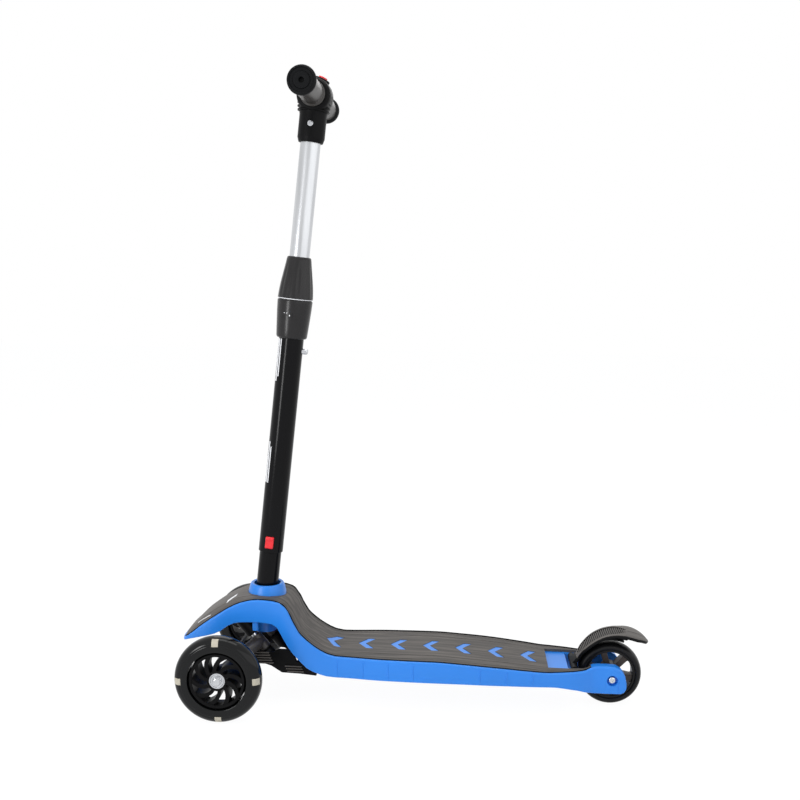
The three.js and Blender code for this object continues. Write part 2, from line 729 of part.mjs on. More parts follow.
// Knuckle of a front wheel: barrel on the kingpin, arm to the wheel, arm of the tie rod
const hub = {
  spacerRadius: 6,
  boss: 10,
  bossInner: 87,
  bossLength: 15.4,
  neckLength: 4.3,
  axleRadius: 4,
};
hub.bossOuter = hub.bossInner + hub.bossLength;
hub.neckOuter = hub.bossOuter + hub.neckLength;
const track = { armLength: 29, armHalf: 4, armLow: 5.5, armHigh: 10.5, pinRadius: 2.5, pinTop: 17 };
const knuckleArm = { half: 8.5, lift: 0.5, setback: 2, sink: 5 };

// Shares of the way from the kingpin to the wheel: across, forwards and down, then half sizes
const knuckleArmShares = [
  [0, 0, 0, 0.82, 0.88], [0.194, 0.053, 0, 0.88, 0.88], [0.419, 0.263, 0.14, 0.94, 0.88],
  [0.677, 0.553, 0.465, 0.94, 0.94], [0.871, 0.842, 0.8, 1, 1], [1, 1, 1, 1, 1],
];

function knuckleArmSkin() {
  const loops = knuckleArmShares.map(([across, ahead, down, wide, high]) => {
    const y = mix(kingpin.y - kingpin.radius / 2, hub.bossInner + knuckleArm.sink, across);
    const x = mix(kingpin.x, wheelBase - knuckleArm.setback, ahead);
    const z = mix(kingpin.z, frontWheelRadius, down) + knuckleArm.lift;
    const halfX = wide * knuckleArm.half;
    const halfZ = high * knuckleArm.half;
    const edge = 0.3 * halfX;
    return [
      [x - halfX, z - halfZ + edge], [x - halfX + edge, z - halfZ], [x + halfX - edge, z - halfZ],
      [x + halfX, z - halfZ + edge], [x + halfX, z + halfZ - edge], [x + halfX - edge, z + halfZ],
      [x - halfX + edge, z + halfZ], [x - halfX, z + halfZ - edge],
    ].map(([px, pz]) => new THREE.Vector3(px, y, pz));
  });
  return skin(loops, (point) => new THREE.Vector2(point.x, point.z));
}

function knuckle() {
  const boss = turnedAcross([
    [0, hub.bossInner], [hub.boss, hub.bossInner], [hub.boss, hub.bossOuter - hub.axleRadius],
    [hub.spacerRadius, hub.bossOuter], [hub.spacerRadius, hub.neckOuter], [0, hub.neckOuter],
  ], smallSteps);
  const barrel = cylinder(kingpin.barrelRadius, -kingpin.barrelHalf, kingpin.barrelHalf, roundSteps);
  const armEnd = track.armLength + track.armHalf;
  const trackArm = block(0, armEnd, -track.armHalf, track.armHalf, track.armLow, track.armHigh);
  const trackPin = cylinder(track.pinRadius, track.armLow, track.pinTop, boltSteps);
  const turning = moved(join(barrel, trackArm, shifted(trackPin, track.armLength, 0, 0)), kingpinPlace);
  const body = join(turning, knuckleArmSkin(), shifted(boss, wheelBase, 0, frontWheelRadius));
  const pinEnd = 2 * kingpin.barrelHalf;
  const pinHole = moved(cylinder(kingpin.radius + gap, -pinEnd, pinEnd), kingpinPlace);
  const holeStart = hub.bossInner - overrun * 2;
  const axleHole = cylinderAcross(hub.axleRadius + gap, holeStart, hub.neckOuter + overrun);
  const headPocket = cylinderAcross(axle.head + gap, 0, hub.bossInner, smallSteps);
  const atWheel = [axleHole, headPocket].map((hole) => shifted(hole, wheelBase, 0, frontWheelRadius));
  return cut(body, pinHole, ...atWheel);
}

function kingpinRod() {
  return moved(cylinder(kingpin.radius, kingpin.pinBottom, kingpin.pinTop), kingpinPlace);
}

function steerRubber() {
  const top = -kingpin.barrelHalf - gap;
  const bore = kingpin.radius + 2 * gap;
  const ring = tube(kingpin.barrelRadius - gap, bore, top - kingpin.rubberDepth, top, smallSteps);
  return moved(ring, kingpinPlace);
}

// Wheels are built about the Y axis with their middle at y = 0, each on two ball bearings
const bearing = { radius: 11, from: 2, to: 9, ledge: 2 };

function bearingPiece() {
  const bore = hub.axleRadius + gap;
  return turnedAcross([
    [bore, bearing.from], [bearing.radius, bearing.from], [bearing.radius, bearing.to], [bore, bearing.to],
  ], smallSteps);
}

// Front axle: bolt through the knuckle and the wheel, with a capped nut outside
const axle = { head: 6, headDepth: 4, capRadius: 6.5, capEdge: 1.9, capHeight: 3.7, endInset: 2.4 };
axle.capFrom = halfTrack + bearing.to + gap;
axle.capTop = axle.capFrom + axle.capHeight;
axle.end = axle.capTop - axle.endInset;

function frontAxleBolt() {
  const headTop = hub.bossInner - gap;
  const headLow = headTop - axle.headDepth;
  return turnedAcross([
    [0, headLow], [axle.head, headLow], [axle.head, headTop], [hub.axleRadius, headTop],
    [hub.axleRadius, axle.end], [0, axle.end],
  ], smallSteps);
}

function frontCapNut() {
  const bore = hub.axleRadius + gap;
  return turnedAcross([
    [bore, axle.capFrom], [axle.capRadius, axle.capFrom], [axle.capRadius, axle.capFrom + axle.capEdge],
    [axle.capRadius * 0.62, axle.capTop], [0, axle.capTop], [0, axle.end + gap], [bore, axle.end + gap],
  ], smallSteps);
}

// Half outline of a tyre, as shares of its half width and of the way out from its bore
const tyreShares = [[1, 0.35], [0.93, 0.62], [0.68, 0.86], [0.34, 0.97]];
const tyreEdge = 0.6;

function tyre(radius, inner, half) {
  const side = tyreShares.map(([across, out]) => [mix(inner, radius, out), across * half]);
  const start = side.map(([r, across]) => [r, -across]);
  const edge = half - tyreEdge;
  return turnedAcross([[inner, -edge], ...start, [radius, 0], ...side.reverse(), [inner, edge]], tyreSteps);
}

// Spokes between the core and the rim; each bends forwards by a share of a turn
function spokes(part, inner, outer) {
  const { count, thickness, half, turn } = part;
  const bend = part.bendShare;
  const steps = bend > 0 ? 2 : 1;
  const list = [];
  for (let i = 0; i < count; i += 1) {
    const start = turn + (i / count) * 2 * Math.PI;
    const left = [];
    const right = [];
    for (let k = 0; k <= steps; k += 1) {
      const share = k / steps;
      const r = mix(inner, outer, share);
      const angle = start + bend * 2 * Math.PI * share * share;
      const off = thickness / 2 / r;
      left.push([r * Math.cos(angle + off), r * Math.sin(angle + off)]);
      right.unshift([r * Math.cos(angle - off), r * Math.sin(angle - off)]);
    }
    list.push(sidePlate([...left, ...right], -half, half));
  }
  return list;
}

function wheelHub(rimOuter, rimInner, rimHalf, core, spokeList) {
  const rim = turnedAcross([
    [rimInner, -rimHalf], [rimOuter, -rimHalf], [rimOuter, rimHalf], [rimInner, rimHalf],
  ], roundSteps);
  const ledge = bearing.radius - bearing.ledge;
  const bore = bearing.radius + gap;
  const coreHalf = bearing.to + coreLip;
  const middle = bearing.from - gap;
  const coreRing = turnedAcross([
    [bore, -coreHalf], [core, -coreHalf], [core, coreHalf], [bore, coreHalf],
    [bore, middle], [ledge, middle], [ledge, -middle], [bore, -middle],
  ], roundSteps);
  return join(rim, coreRing, ...spokeList);
}

const coreLip = 1;
const frontHub = {
  rimOuter: 38,
  rimWall: 4,
  rimHalf: 11,
  core: 14,
  spokeSink: 1,
  count: 10,
  thickness: 3.2,
  half: 7.5,
  bendShare: 0.08,
  turn: 0,
};
const rearHub = {
  rimOuter: 35.6,
  rimWall: 3.6,
  rimHalf: 11,
  core: 14,
  spokeSink: 1,
  count: 6,
  thickness: 8,
  half: 8,
  bendShare: 0,
  turn: THREE.MathUtils.degToRad(13),
};
const lampRing = {
  wall: 2,
  half: 10,
  lampReach: 16.7,
  lampWide: 9,
  windowDepth: 9.5,
  count: 4,
  turn: THREE.MathUtils.degToRad(-3),
};
lampRing.inner = frontHub.rimOuter + gap;
lampRing.outer = lampRing.inner + lampRing.wall;
lampRing.reach = lampRing.outer + lampRing.lampReach;

function spokedHub(part) {
  const rimInner = part.rimOuter - part.rimWall;
  const from = part.core - part.spokeSink;
  const to = rimInner + part.spokeSink;
  return wheelHub(part.rimOuter, rimInner, part.rimHalf, part.core, spokes(part, from, to));
}

// Each lamp stands on the carrier ring and widens to the tyre's side faces
function lampBlocks(extra) {
  const list = [];
  const wide = lampRing.lampWide / 2 + extra;
  const reach = lampRing.reach + extra;
  const low = lampRing.reach - lampRing.windowDepth - extra;
  const neck = lampRing.half - gap + extra;
  for (let i = 0; i < lampRing.count; i += 1) {
    const stalk = block(lampRing.inner + gap, reach, -neck, neck, -wide, wide);
    const window = block(low, reach, -halfFrontTyre, halfFrontTyre, -wide, wide);
    const angle = lampRing.turn + (i / lampRing.count) * 2 * Math.PI;
    list.push(moved(join(stalk, window), new THREE.Matrix4().makeRotationY(angle)));
  }
  return list;
}

const frontTyreBody = tyre(frontWheelRadius, lampRing.outer + gap, halfFrontTyre);

function frontTyre() {
  return cut(frontTyreBody, ...lampBlocks(gap));
}

function lampCarrier() {
  const ring = turnedAcross([
    [lampRing.inner, -lampRing.half], [lampRing.outer, -lampRing.half], [lampRing.outer, lampRing.half],
    [lampRing.inner, lampRing.half],
  ], roundSteps);
  const body = tyre(frontWheelRadius, lampRing.inner + gap, halfFrontTyre);
  return join(ring, join(...lampBlocks(0)).intersect(body));
}

// Tie rod between the two knuckles, with an eye at each end
const tieRodEye = { wall: 4, depth: 5, rodRadius: 2.4 };

function tieRod() {
  const low = track.armHigh + gap;
  const high = low + tieRodEye.depth;
  const eyes = [];
  const bores = [];
  for (const side of [1, -1]) {
    const place = new THREE.Matrix4()
      .makeTranslation(kingpin.x, side * kingpin.y, kingpin.z)
      .multiply(new THREE.Matrix4().makeRotationY(kingpin.lean))
      .multiply(new THREE.Matrix4().makeTranslation(track.armLength, 0, 0));
    eyes.push(moved(cylinder(track.pinRadius + tieRodEye.wall, low, high), place));
    bores.push(moved(cylinder(track.pinRadius + gap, low - overrun, high + overrun, boltSteps), place));
  }
  const middlePlace = new THREE.Matrix4()
    .makeTranslation(kingpin.x, 0, kingpin.z)
    .multiply(new THREE.Matrix4().makeRotationY(kingpin.lean));
  const middle = new THREE.Vector3(track.armLength, 0, (low + high) / 2).applyMatrix4(middlePlace);
  const rod = cylinderAcross(tieRodEye.rodRadius, -kingpin.y, kingpin.y, boltSteps);
  return cut(join(shifted(rod, middle.x, 0, middle.z), ...eyes), ...bores);
}

// Rear axle
function rearBolt() {
  const inner = halfFork - axlePocket.depth + gap;
  const end = -inner - rearAxle.nutHeight;
  const top = inner + rearAxle.headHeight;
  return turnedAcross([
    [0, end], [rearAxle.radius, end], [rearAxle.radius, inner], [rearAxle.head, inner],
    [rearAxle.head, mix(inner, top, 0.7)], [rearAxle.head * 0.7, top], [0, top],
  ], smallSteps);
}

function hexNut(radius, bore, from, to) {
  const hexagon = turnedAcross([[0, from], [radius, from], [radius, to], [0, to]], 6);
  return cut(hexagon, cylinderAcross(bore, from - overrun, to + overrun, boltSteps));
}

function rearNut() {
  const inner = halfFork - axlePocket.depth + gap;
  return hexNut(rearAxle.nut, rearAxle.radius + 2 * gap, -inner - rearAxle.nutHeight, -inner);
}

function rearSpacer() {
  const from = bearing.to + gap;
  const to = well.throatHalfWidth - gap;
  const bore = rearAxle.radius + gap;
  const outer = rearAxle.spacer;
  return turnedAcross([[bore, from], [outer, from], [outer, to], [bore, to]], smallSteps);
}

// Brake fender over the rear wheel
const fenderPin = { ahead: 6.5, above: 10.5, radius: 2.5, grip: 2 };
fenderPin.x = rearWheelRadius + fenderPin.ahead;
fenderPin.z = rearWheelRadius + fenderPin.above;
fenderPin.half = well.halfWidth + fenderPin.grip;
const fender = {
  halfWidth: 21,
  rootHalfWidth: 12,
  camber: 1.5,
  thickness: 3.2,
  border: 1.2,
  rim: 2.2,
  barrelRadius: 5,
  barrelGap: 5,
  ribHalf: 10,
  ribThickness: 2,
  padGap: 5.2,
  padThickness: 2.6,
};

// Fender's upper line, its root and its lower ribs, from the axle in shares of the wheel's radius;
// each point of the line also has its share of the half width
const fenderLineShares = [
  [1.144, 0.356, 0.57], [1.05, 0.512, 0.57], [0.965, 0.676, 0.7], [0.867, 0.809, 0.81],
  [0.74, 0.947, 0.92], [0.597, 1.077, 0.98], [0.413, 1.2, 1], [0.205, 1.296, 1.01],
  [0, 1.347, 1.03], [-0.192, 1.369, 1.06], [-0.392, 1.368, 1.12], [-0.575, 1.345, 1.23],
  [-0.752, 1.302, 1.25], [-0.938, 1.24, 1.05], [-1.088, 1.157, 0.7], [-1.191, 1.07, 0.25],
];
const fenderRootShares = [
  [1.042, 0.467], [1.087, 0.493], [1.191, 0.344], [1.244, 0.278], [1.178, 0.133], [1.053, 0.178],
  [1.036, 0.244], [1.031, 0.378],
];
const fenderRibShares = [
  [0.267, 1.2], [0.089, 1.267], [-0.222, 1.329], [-0.533, 1.32], [-0.711, 1.258], [-0.489, 1.111],
  [-0.178, 1.164], [0.133, 1.151],
];
const padAngleShares = [0.207, 0.223, 0.239, 0.255, 0.271, 0.286, 0.302, 0.318];

function overRearWheel(shares) {
  return shares.map(([x, z]) => [x * rearWheelRadius, rearWheelRadius + z * rearWheelRadius]);
}

function fenderHood() {
  const line = overRearWheel(fenderLineShares);
  const last = line.length - 1;
  const loops = line.map(([x, z], i) => {
    const before = line[Math.max(i - 1, 0)];
    const after = line[Math.min(i + 1, last)];
    const along = new THREE.Vector2(after[0] - before[0], after[1] - before[1]).normalize();
    const down = new THREE.Vector2(-along.y, along.x);
    const half = fenderLineShares[i][2] * fender.halfWidth;
    const sink = i === 0 || i === last ? 0 : fender.border;
    const drop = fender.camber;
    const under = fender.thickness;
    const point = (y, depth) => new THREE.Vector3(x + down.x * depth, y, z + down.y * depth);
    const edge = half - fender.rim;
    return [
      point(-half, under + drop), point(-edge / 2, under), point(edge / 2, under),
      point(half, under + drop), point(half, drop), point(edge, 0),
      point(edge - fender.border, sink), point(fender.border - edge, sink), point(-edge, 0),
      point(-half, drop),
    ];
  });
  return skin(loops, (point) => new THREE.Vector2(point.y, point.x + point.z));
}

function fenderBody() {
  const half = fender.rootHalfWidth;
  const root = sidePlate(overRearWheel(fenderRootShares), -half, half);
  const barrelHalf = well.halfWidth - fender.barrelGap;
  const barrel = cylinderAcross(fender.barrelRadius, -barrelHalf, barrelHalf);
  const ribOuter = fender.ribHalf;
  const rib = sidePlate(overRearWheel(fenderRibShares), ribOuter - fender.ribThickness, ribOuter);
  const bore = cylinderAcross(fenderPin.radius + gap, -fenderPin.half, fenderPin.half);
  const clearHole = cylinderAcross(padOuter + 3 * gap, -ribOuter, ribOuter, roundSteps);
  const clear = shifted(clearHole, 0, 0, rearWheelRadius);
  const ribs = [cut(rib, clear), cut(mirrored(rib), clear)];
  const body = join(fenderHood(), root, shifted(barrel, fenderPin.x, 0, fenderPin.z), ...ribs);
  return cut(body, shifted(bore, fenderPin.x, 0, fenderPin.z));
}

const padInner = rearWheelRadius + fender.padGap;
const padOuter = padInner + fender.padThickness;

function brakePad() {
  const arc = (radius) => padAngleShares.map((share) => {
    const angle = share * 2 * Math.PI;
    return [radius * Math.cos(angle), radius * Math.sin(angle)];
  });
  const half = fender.rootHalfWidth;
  const pad = sidePlate([...arc(padInner), ...arc(padOuter).reverse()], -half, half);
  return shifted(pad, 0, 0, rearWheelRadius);
}

function fenderRod() {
  const half = fenderPin.half - gap;
  return shifted(cylinderAcross(fenderPin.radius, -half, half, boltSteps), fenderPin.x, 0, fenderPin.z);
}

// Stem pieces, in the stem's own frame
const sleeve = { outer: 17.5, inner: 16.1, from: 61.3 };
sleeve.to = sleeve.from + outerTubeLength;
const button = { rise: 7.2, length: 17, half: 5.85, inner: 12, outer: 20.3, corner: 2 };
button.from = sleeve.from + button.rise;
button.to = button.from + button.length;
const catchPin = {
  drop: 70.4,
  radius: 4.25,
  flange: 6,
  out: 25.3,
  flangeFrom: 8.4,
  flangeDepth: 2,
  tip: 2.5,
};
catchPin.at = sleeve.to - catchPin.drop;
const inner = { outer: 14, inner: 12.4, overlap: 139.6, slotBelow: 40.6, slotAbove: 125.4, slotHalf: 4.8 };
inner.from = sleeve.to - inner.overlap;
inner.slotFrom = catchPin.at - inner.slotBelow;
inner.slotTo = catchPin.at + inner.slotAbove;
const lower = {
  skirt: 53.2,
  above: 1.4,
  neckLength: 19.6,
  bottom: 21.5,
  top: 24.6,
  neckRadius: 18,
  edge: 1.5,
};
lower.from = sleeve.to - lower.skirt;
lower.to = sleeve.to + lower.above;
lower.neck = lower.to + lower.neckLength;
const twist = { length: 58.4, bottom: 24.6, top: 16.8, neckGap: 0.5, edge: 3, corner: 1.5, lipWall: 1 };
twist.from = lower.to + 2 * gap;
twist.to = twist.from + twist.length;
twist.bore = lower.neckRadius + twist.neckGap;
twist.step = lower.neck + wall / 2;
const tee = {
  drop: 62.4,
  boltDrop: 38.3,
  tubeDrop: 28.8,
  sleeve: 18.8,
  foot: 17.6,
  footEdge: 6,
  shoulderDrop: 26.3,
  neckDrop: 14,
  collarDrop: 4,
  head: 24,
  headHalf: 21,
  ribDrop: 21,
  ribPitch: 5.2,
  ribDepth: 2.6,
  ribs: 4,
};
tee.bar = sleeve.to + barRise;
tee.from = tee.bar - tee.drop;
tee.bolt = tee.bar - tee.boltDrop;
inner.to = tee.bar - tee.tubeDrop;
const teeScrew = {
  radius: 2.5,
  boreRadius: 2.8,
  seatDepth: 3.4,
  head: 4.3,
  headHeight: 3,
  socket: 2.1,
  socketDepth: 1.8,
  headHole: 4.6,
  nut: 4.5,
  nutHeight: 2.6,
  nutHole: 4.9,
};
const fromStem = (height) => new THREE.Matrix4()
  .makeTranslation(0, 0, height)
  .multiply(new THREE.Matrix4().makeRotationY(-Math.PI / 2));

function lowerPost() {
  const solid = tube(post.radius, post.radius - post.wall, post.bottom, post.top);
  const half = post.keyHalfWidth;
  const keyLow = button.from - post.keyMargin;
  const key = block(-half, half, 0, post.radius + overrun, keyLow, post.top + overrun);
  const end = post.radius + overrun;
  const across = cylinderAcross(socket.boltRadius + gap, -end, end, boltSteps);
  return cut(solid, key, shifted(across, 0, 0, socket.boltDrop));
}

function postBolt() {
  const headLow = socket.radius + gap;
  const headHigh = headLow + socket.headDepth;
  const end = -socket.radius - gap - socket.nutDepth;
  const bolt = turnedAcross([
    [0, end], [socket.boltRadius, end], [socket.boltRadius, headLow], [socket.headRadius, headLow],
    [socket.headRadius, headHigh], [0, headHigh],
  ], boltSteps);
  return shifted(bolt, 0, 0, socket.boltDrop);
}

function postNut() {
  const high = -socket.radius - gap;
  const nut = hexNut(socket.nutRadius, socket.boltRadius + gap, high - socket.nutDepth, high);
  return shifted(nut, 0, 0, socket.boltDrop);
}

function outerTube() {
  const solid = tube(sleeve.outer, sleeve.inner, sleeve.from, sleeve.to);
  const half = button.half + gap;
  const window = block(-half, half, 0, sleeve.outer + overrun, button.from - gap, button.to + gap);
  const hole = moved(cylinder(catchPin.radius + gap, 0, sleeve.outer + overrun), fromStem(catchPin.at));
  return cut(solid, window, hole);
}

function releaseButton() {
  const [half, corner, low, high] = [button.half, button.corner, button.from, button.to];
  return sidePlate([
    [-half, low + corner], [corner - half, low], [half - corner, low], [half, low + corner],
    [half, high - corner], [half - corner, high], [corner - half, high], [-half, high - corner],
  ], button.inner, button.outer);
}

function snapPin() {
  const p = catchPin;
  const flangeTo = p.flangeFrom + p.flangeDepth;
  const pin = turned([
    [0, p.flangeFrom], [p.flange, p.flangeFrom], [p.flange, flangeTo], [p.radius, flangeTo],
    [p.radius, p.out - p.tip], [p.radius * 0.8, p.out - 0.36 * p.tip], [p.radius * 0.4, p.out], [0, p.out],
  ], smallSteps);
  return moved(pin, fromStem(p.at));
}

function lowerCollar() {
  const over = sleeve.outer + gap;
  const bore = inner.outer + gap;
  const middle = [mix(lower.bottom, lower.top, 0.6), mix(lower.from, lower.to, 0.5)];
  return turned([
    [over, lower.from], [lower.bottom - lower.edge, lower.from], [lower.bottom, lower.from + lower.edge],
    middle, [lower.top, lower.to - lower.edge], [lower.top, lower.to], [lower.neckRadius, lower.to],
    [lower.neckRadius, lower.neck], [bore, lower.neck], [bore, sleeve.to + gap], [over, sleeve.to + gap],
  ]);
}

// Outline of the twist collar, in shares of the way up and from its top radius to its bottom one
const twistShares = [[0.26, 0.86], [0.58, 0.5], [0.85, 0.16]];

function twistCollar() {
  const topBore = inner.outer + 2 * gap;
  const side = twistShares.map(([up, out]) => {
    return [mix(twist.top, twist.bottom, out), mix(twist.from, twist.to, up)];
  });
  return turned([
    [twist.bore, twist.from], [twist.bottom, twist.from], [twist.bottom, twist.from + twist.edge], ...side,
    [twist.top, twist.to - twist.corner], [twist.top - twist.lipWall, twist.to], [topBore, twist.to],
    [topBore, twist.step], [twist.bore, twist.step],
  ]);
}

function innerTube() {
  const solid = tube(inner.outer, inner.inner, inner.from, inner.to);
  const end = inner.outer + overrun;
  const slot = block(-end, 0, -inner.slotHalf, inner.slotHalf, inner.slotFrom, inner.slotTo);
  const across = cylinderAcross(teeScrew.boreRadius, -end, end, boltSteps);
  return cut(solid, slot, shifted(across, 0, 0, tee.bolt));
}

// T-piece: sleeve over the inner tube and a cross sleeve that takes the two handles
const headPress = {
  radius: 6.5,
  lean: THREE.MathUtils.degToRad(18.3),
  from: 12.6,
  to: 28.4,
  flange: 8.2,
  flangeAt: 14,
  flangeDepth: 1.6,
  bossWall: 2.6,
  bossRise: 1.2,
  travel: 3.4,
  corner: 1.6,
};
const headPlace = new THREE.Matrix4()
  .makeTranslation(0, 0, tee.bar)
  .multiply(new THREE.Matrix4().makeRotationY(-headPress.lean));

// Half outline of the cross sleeve, as shares of its half length and of its radius
const headShares = [[1, 0.84], [0.82, 0.95], [0.5, 1]];

function teeHead() {
  const end = headShares.map(([across, out]) => [out * tee.head, across * tee.headHalf]);
  const start = end.map(([radius, across]) => [radius, -across]);
  return turnedAcross([[0, -tee.headHalf], ...start, ...end.reverse(), [0, tee.headHalf]]);
}

function teePiece() {
  const p = headPress;
  const body = turned([
    [0, tee.from], [tee.foot, tee.from], [tee.sleeve, tee.from + tee.footEdge],
    [tee.sleeve, tee.bar - tee.shoulderDrop], [tee.sleeve * 1.08, tee.bar - tee.neckDrop],
    [tee.sleeve * 1.1, tee.bar - tee.collarDrop], [0, tee.bar - tee.collarDrop],
  ]);
  const ribs = [];
  for (let i = 0; i < tee.ribs; i += 1) {
    const z = tee.bar - tee.ribDrop + i * tee.ribPitch;
    ribs.push(tube(tee.sleeve * 1.19, tee.sleeve * 0.9, z, z + tee.ribDepth, roundSteps));
  }
  const boss = moved(cylinder(p.flange + p.bossWall, p.from, tee.head + p.bossRise, smallSteps), headPlace);
  const solid = join(body, shifted(teeHead(), 0, 0, tee.bar), boss, ...ribs);
  const bore = cylinder(inner.outer + gap, tee.from - overrun, inner.to + gap, roundSteps);
  const crossEnd = tee.headHalf + overrun;
  const cross = cylinderAcross(handle.outer + gap, -crossEnd, crossEnd, roundSteps);
  const press = moved(cylinder(p.radius + gap, 0, tee.head + overrun * 2), headPlace);
  const roomTop = p.flangeAt + p.flangeDepth + gap;
  const room = moved(cylinder(p.flange + gap, p.from - gap - p.travel, roomTop), headPlace);
  const far = 2 * tee.sleeve;
  const seat = tee.sleeve - teeScrew.seatDepth;
  const across = [
    cylinderAcross(teeScrew.boreRadius, -far, far, boltSteps),
    cylinderAcross(teeScrew.headHole, seat, far, boltSteps),
    cylinderAcross(teeScrew.nutHole, -far, -seat, boltSteps),
  ];
  const boltHoles = across.map((hole) => shifted(hole, 0, 0, tee.bolt));
  return cut(solid, bore, shifted(cross, 0, 0, tee.bar), press, room, ...boltHoles);
}

function headButton() {
  const p = headPress;
  const flangeTo = p.flangeAt + p.flangeDepth;
  return moved(turned([
    [0, p.flangeAt], [p.flange, p.flangeAt], [p.flange, flangeTo], [p.radius, flangeTo],
    [p.radius, p.to - p.corner], [p.radius * 0.7, p.to], [0, p.to],
  ], smallSteps), headPlace);
}

function teeBolt() {
  const seat = tee.sleeve - teeScrew.seatDepth + gap;
  const end = -seat - teeScrew.nutHeight;
  const top = seat + teeScrew.headHeight;
  const floor = top - teeScrew.socketDepth;
  const solid = turnedAcross([
    [0, end], [teeScrew.radius, end], [teeScrew.radius, seat], [teeScrew.head, seat], [teeScrew.head, top],
    [teeScrew.socket, top], [teeScrew.socket, floor], [0, floor],
  ], boltSteps);
  return shifted(solid, 0, 0, tee.bolt);
}

function teeNut() {
  const seat = tee.sleeve - teeScrew.seatDepth + gap;
  const nut = hexNut(teeScrew.nut, teeScrew.radius + gap, -seat - teeScrew.nutHeight, -seat);
  return shifted(nut, 0, 0, tee.bolt);
}

// Handle: bar, rubber grip and end plug
const handle = { outer: 11, inner: 9.4, from: 1, endInset: 2.4, plugDepth: 8, plugLip: 1.5 };
handle.to = halfBar - handle.endInset;
const grip = {
  inset: 2.2,
  flange: 19.1,
  collar: 17.2,
  collarEdge: 1.5,
  collarDepth: 3,
  shoulder: 5,
  waist: 13,
};
grip.from = tee.headHalf + grip.inset;

function barTube() {
  return shifted(turnedAcross([
    [handle.inner, handle.from], [handle.outer, handle.from],
    [handle.outer, handle.to], [handle.inner, handle.to],
  ]), 0, 0, tee.bar);
}

// End of the grip: distance from the end and radius, as shares of the waist and of the flange
const gripEndShares = [[0.62, 0.93], [0.42, 1], [0.23, 1], [0, 0.9]];

function gripPiece() {
  const bore = handle.outer + gap;
  const cap = handle.outer + handle.plugLip + gap;
  const seat = handle.to + 2 * gap;
  const end = gripEndShares.map(([back, out]) => [out * grip.flange, halfBar - back * grip.waist]);
  return shifted(turnedAcross([
    [bore, grip.from], [grip.collar * 0.96, grip.from], [grip.collar, grip.from + grip.collarEdge],
    [grip.collar, grip.from + grip.collarDepth], [gripRadius * 0.93, grip.from + grip.shoulder],
    [gripRadius, mix(grip.from, halfBar, 0.3)], [gripRadius, mix(grip.from, halfBar, 0.6)],
    [gripRadius * 0.92, halfBar - grip.waist], ...end, [cap, halfBar], [cap, seat], [bore, seat],
  ]), 0, 0, tee.bar);
}

function endPlug() {
  const face = handle.to + gap;
  const plug = handle.inner - gap;
  const deep = handle.to - handle.plugDepth;
  const top = halfBar - 2 * gap;
  const floor = mix(face, halfBar, 0.2);
  return shifted(turnedAcross([
    [0, deep], [plug, deep], [plug, face], [handle.outer, face], [handle.outer, mix(face, halfBar, 0.55)],
    [handle.outer * 0.78, top], [handle.outer * 0.36, floor], [0, floor],
  ], smallSteps), 0, 0, tee.bar);
}

function screwPiece() {
  const low = bracket.floor + gap;
  const headTop = low + bracket.screwHeadHeight;
  const end = bracket.footBottom + bracket.screwLength;
  return turned([
    [0, low], [bracket.screwHead, low], [bracket.screwHead, headTop], [bracket.screwRadius, headTop],
    [bracket.screwRadius, end], [0, end],
  ], boltSteps);
}

// Assembly
piece(chassis, 'deck_shell', deckShell(), blue);
piece(chassis, 'deck_mat', deckMat(), rubberMat);
piece(chassis, 'nose_cover', noseCover(), darkPlastic);
piece(chassis, 'stem_collar', stemCollar(), blue);
piece(chassis, 'steering_bracket', steeringBracket(), blackPlastic);
screwPlaces.forEach(([x, y], i) => {
  piece(chassis, `bracket_screw_${i + 1}`, screwPiece(), steel, [x, y, 0]);
});

const sides = [['left', 1], ['right', -1]];
for (const [name, side] of sides) {
  const at = (solid) => (side > 0 ? solid : mirrored(solid));
  const wheelSpot = [wheelBase, side * halfTrack, frontWheelRadius];
  const axleSpot = [wheelBase, 0, frontWheelRadius];
  piece(chassis, `kingpin_${name}`, at(kingpinRod()), steel);
  piece(chassis, `steer_rubber_${name}`, at(steerRubber()), blackPlastic);
  piece(chassis, `knuckle_${name}`, at(knuckle()), greyPlastic);
  piece(chassis, `axle_bolt_${name}`, at(frontAxleBolt()), steel, axleSpot);
  piece(chassis, `axle_cap_${name}`, at(frontCapNut()), steel, axleSpot);
  piece(chassis, `front_tyre_${name}`, frontTyre(), darkTyre, wheelSpot);
  piece(chassis, `lamp_ring_${name}`, lampCarrier(), lampPlastic, wheelSpot);
  piece(chassis, `front_hub_${name}`, spokedHub(frontHub), blackPlastic, wheelSpot);
  piece(chassis, `bearing_outer_${name}`, at(bearingPiece()), steel, wheelSpot);
  piece(chassis, `bearing_inner_${name}`, mirrored(at(bearingPiece())), steel, wheelSpot);
}
piece(chassis, 'tie_rod', tieRod(), greyPlastic);

const rearSpot = [0, 0, rearWheelRadius];
const rearTyre = tyre(rearWheelRadius, rearHub.rimOuter + gap, halfRearTyre);
piece(chassis, 'rear_tyre', rearTyre, blackPaint, rearSpot);
piece(chassis, 'rear_hub', spokedHub(rearHub), blackPlastic, rearSpot);
piece(chassis, 'rear_bearing_left', bearingPiece(), steel, rearSpot);
piece(chassis, 'rear_bearing_right', mirrored(bearingPiece()), steel, rearSpot);
piece(chassis, 'rear_axle_bolt', rearBolt(), steel, rearSpot);
piece(chassis, 'rear_axle_nut', rearNut(), steel, rearSpot);
piece(chassis, 'rear_spacer_left', rearSpacer(), steel, rearSpot);
piece(chassis, 'rear_spacer_right', mirrored(rearSpacer()), steel, rearSpot);
piece(chassis, 'fender', fenderBody(), darkPlastic);
piece(chassis, 'brake_pad', brakePad(), blackPlastic);
piece(chassis, 'fender_pin', fenderRod(), steel);

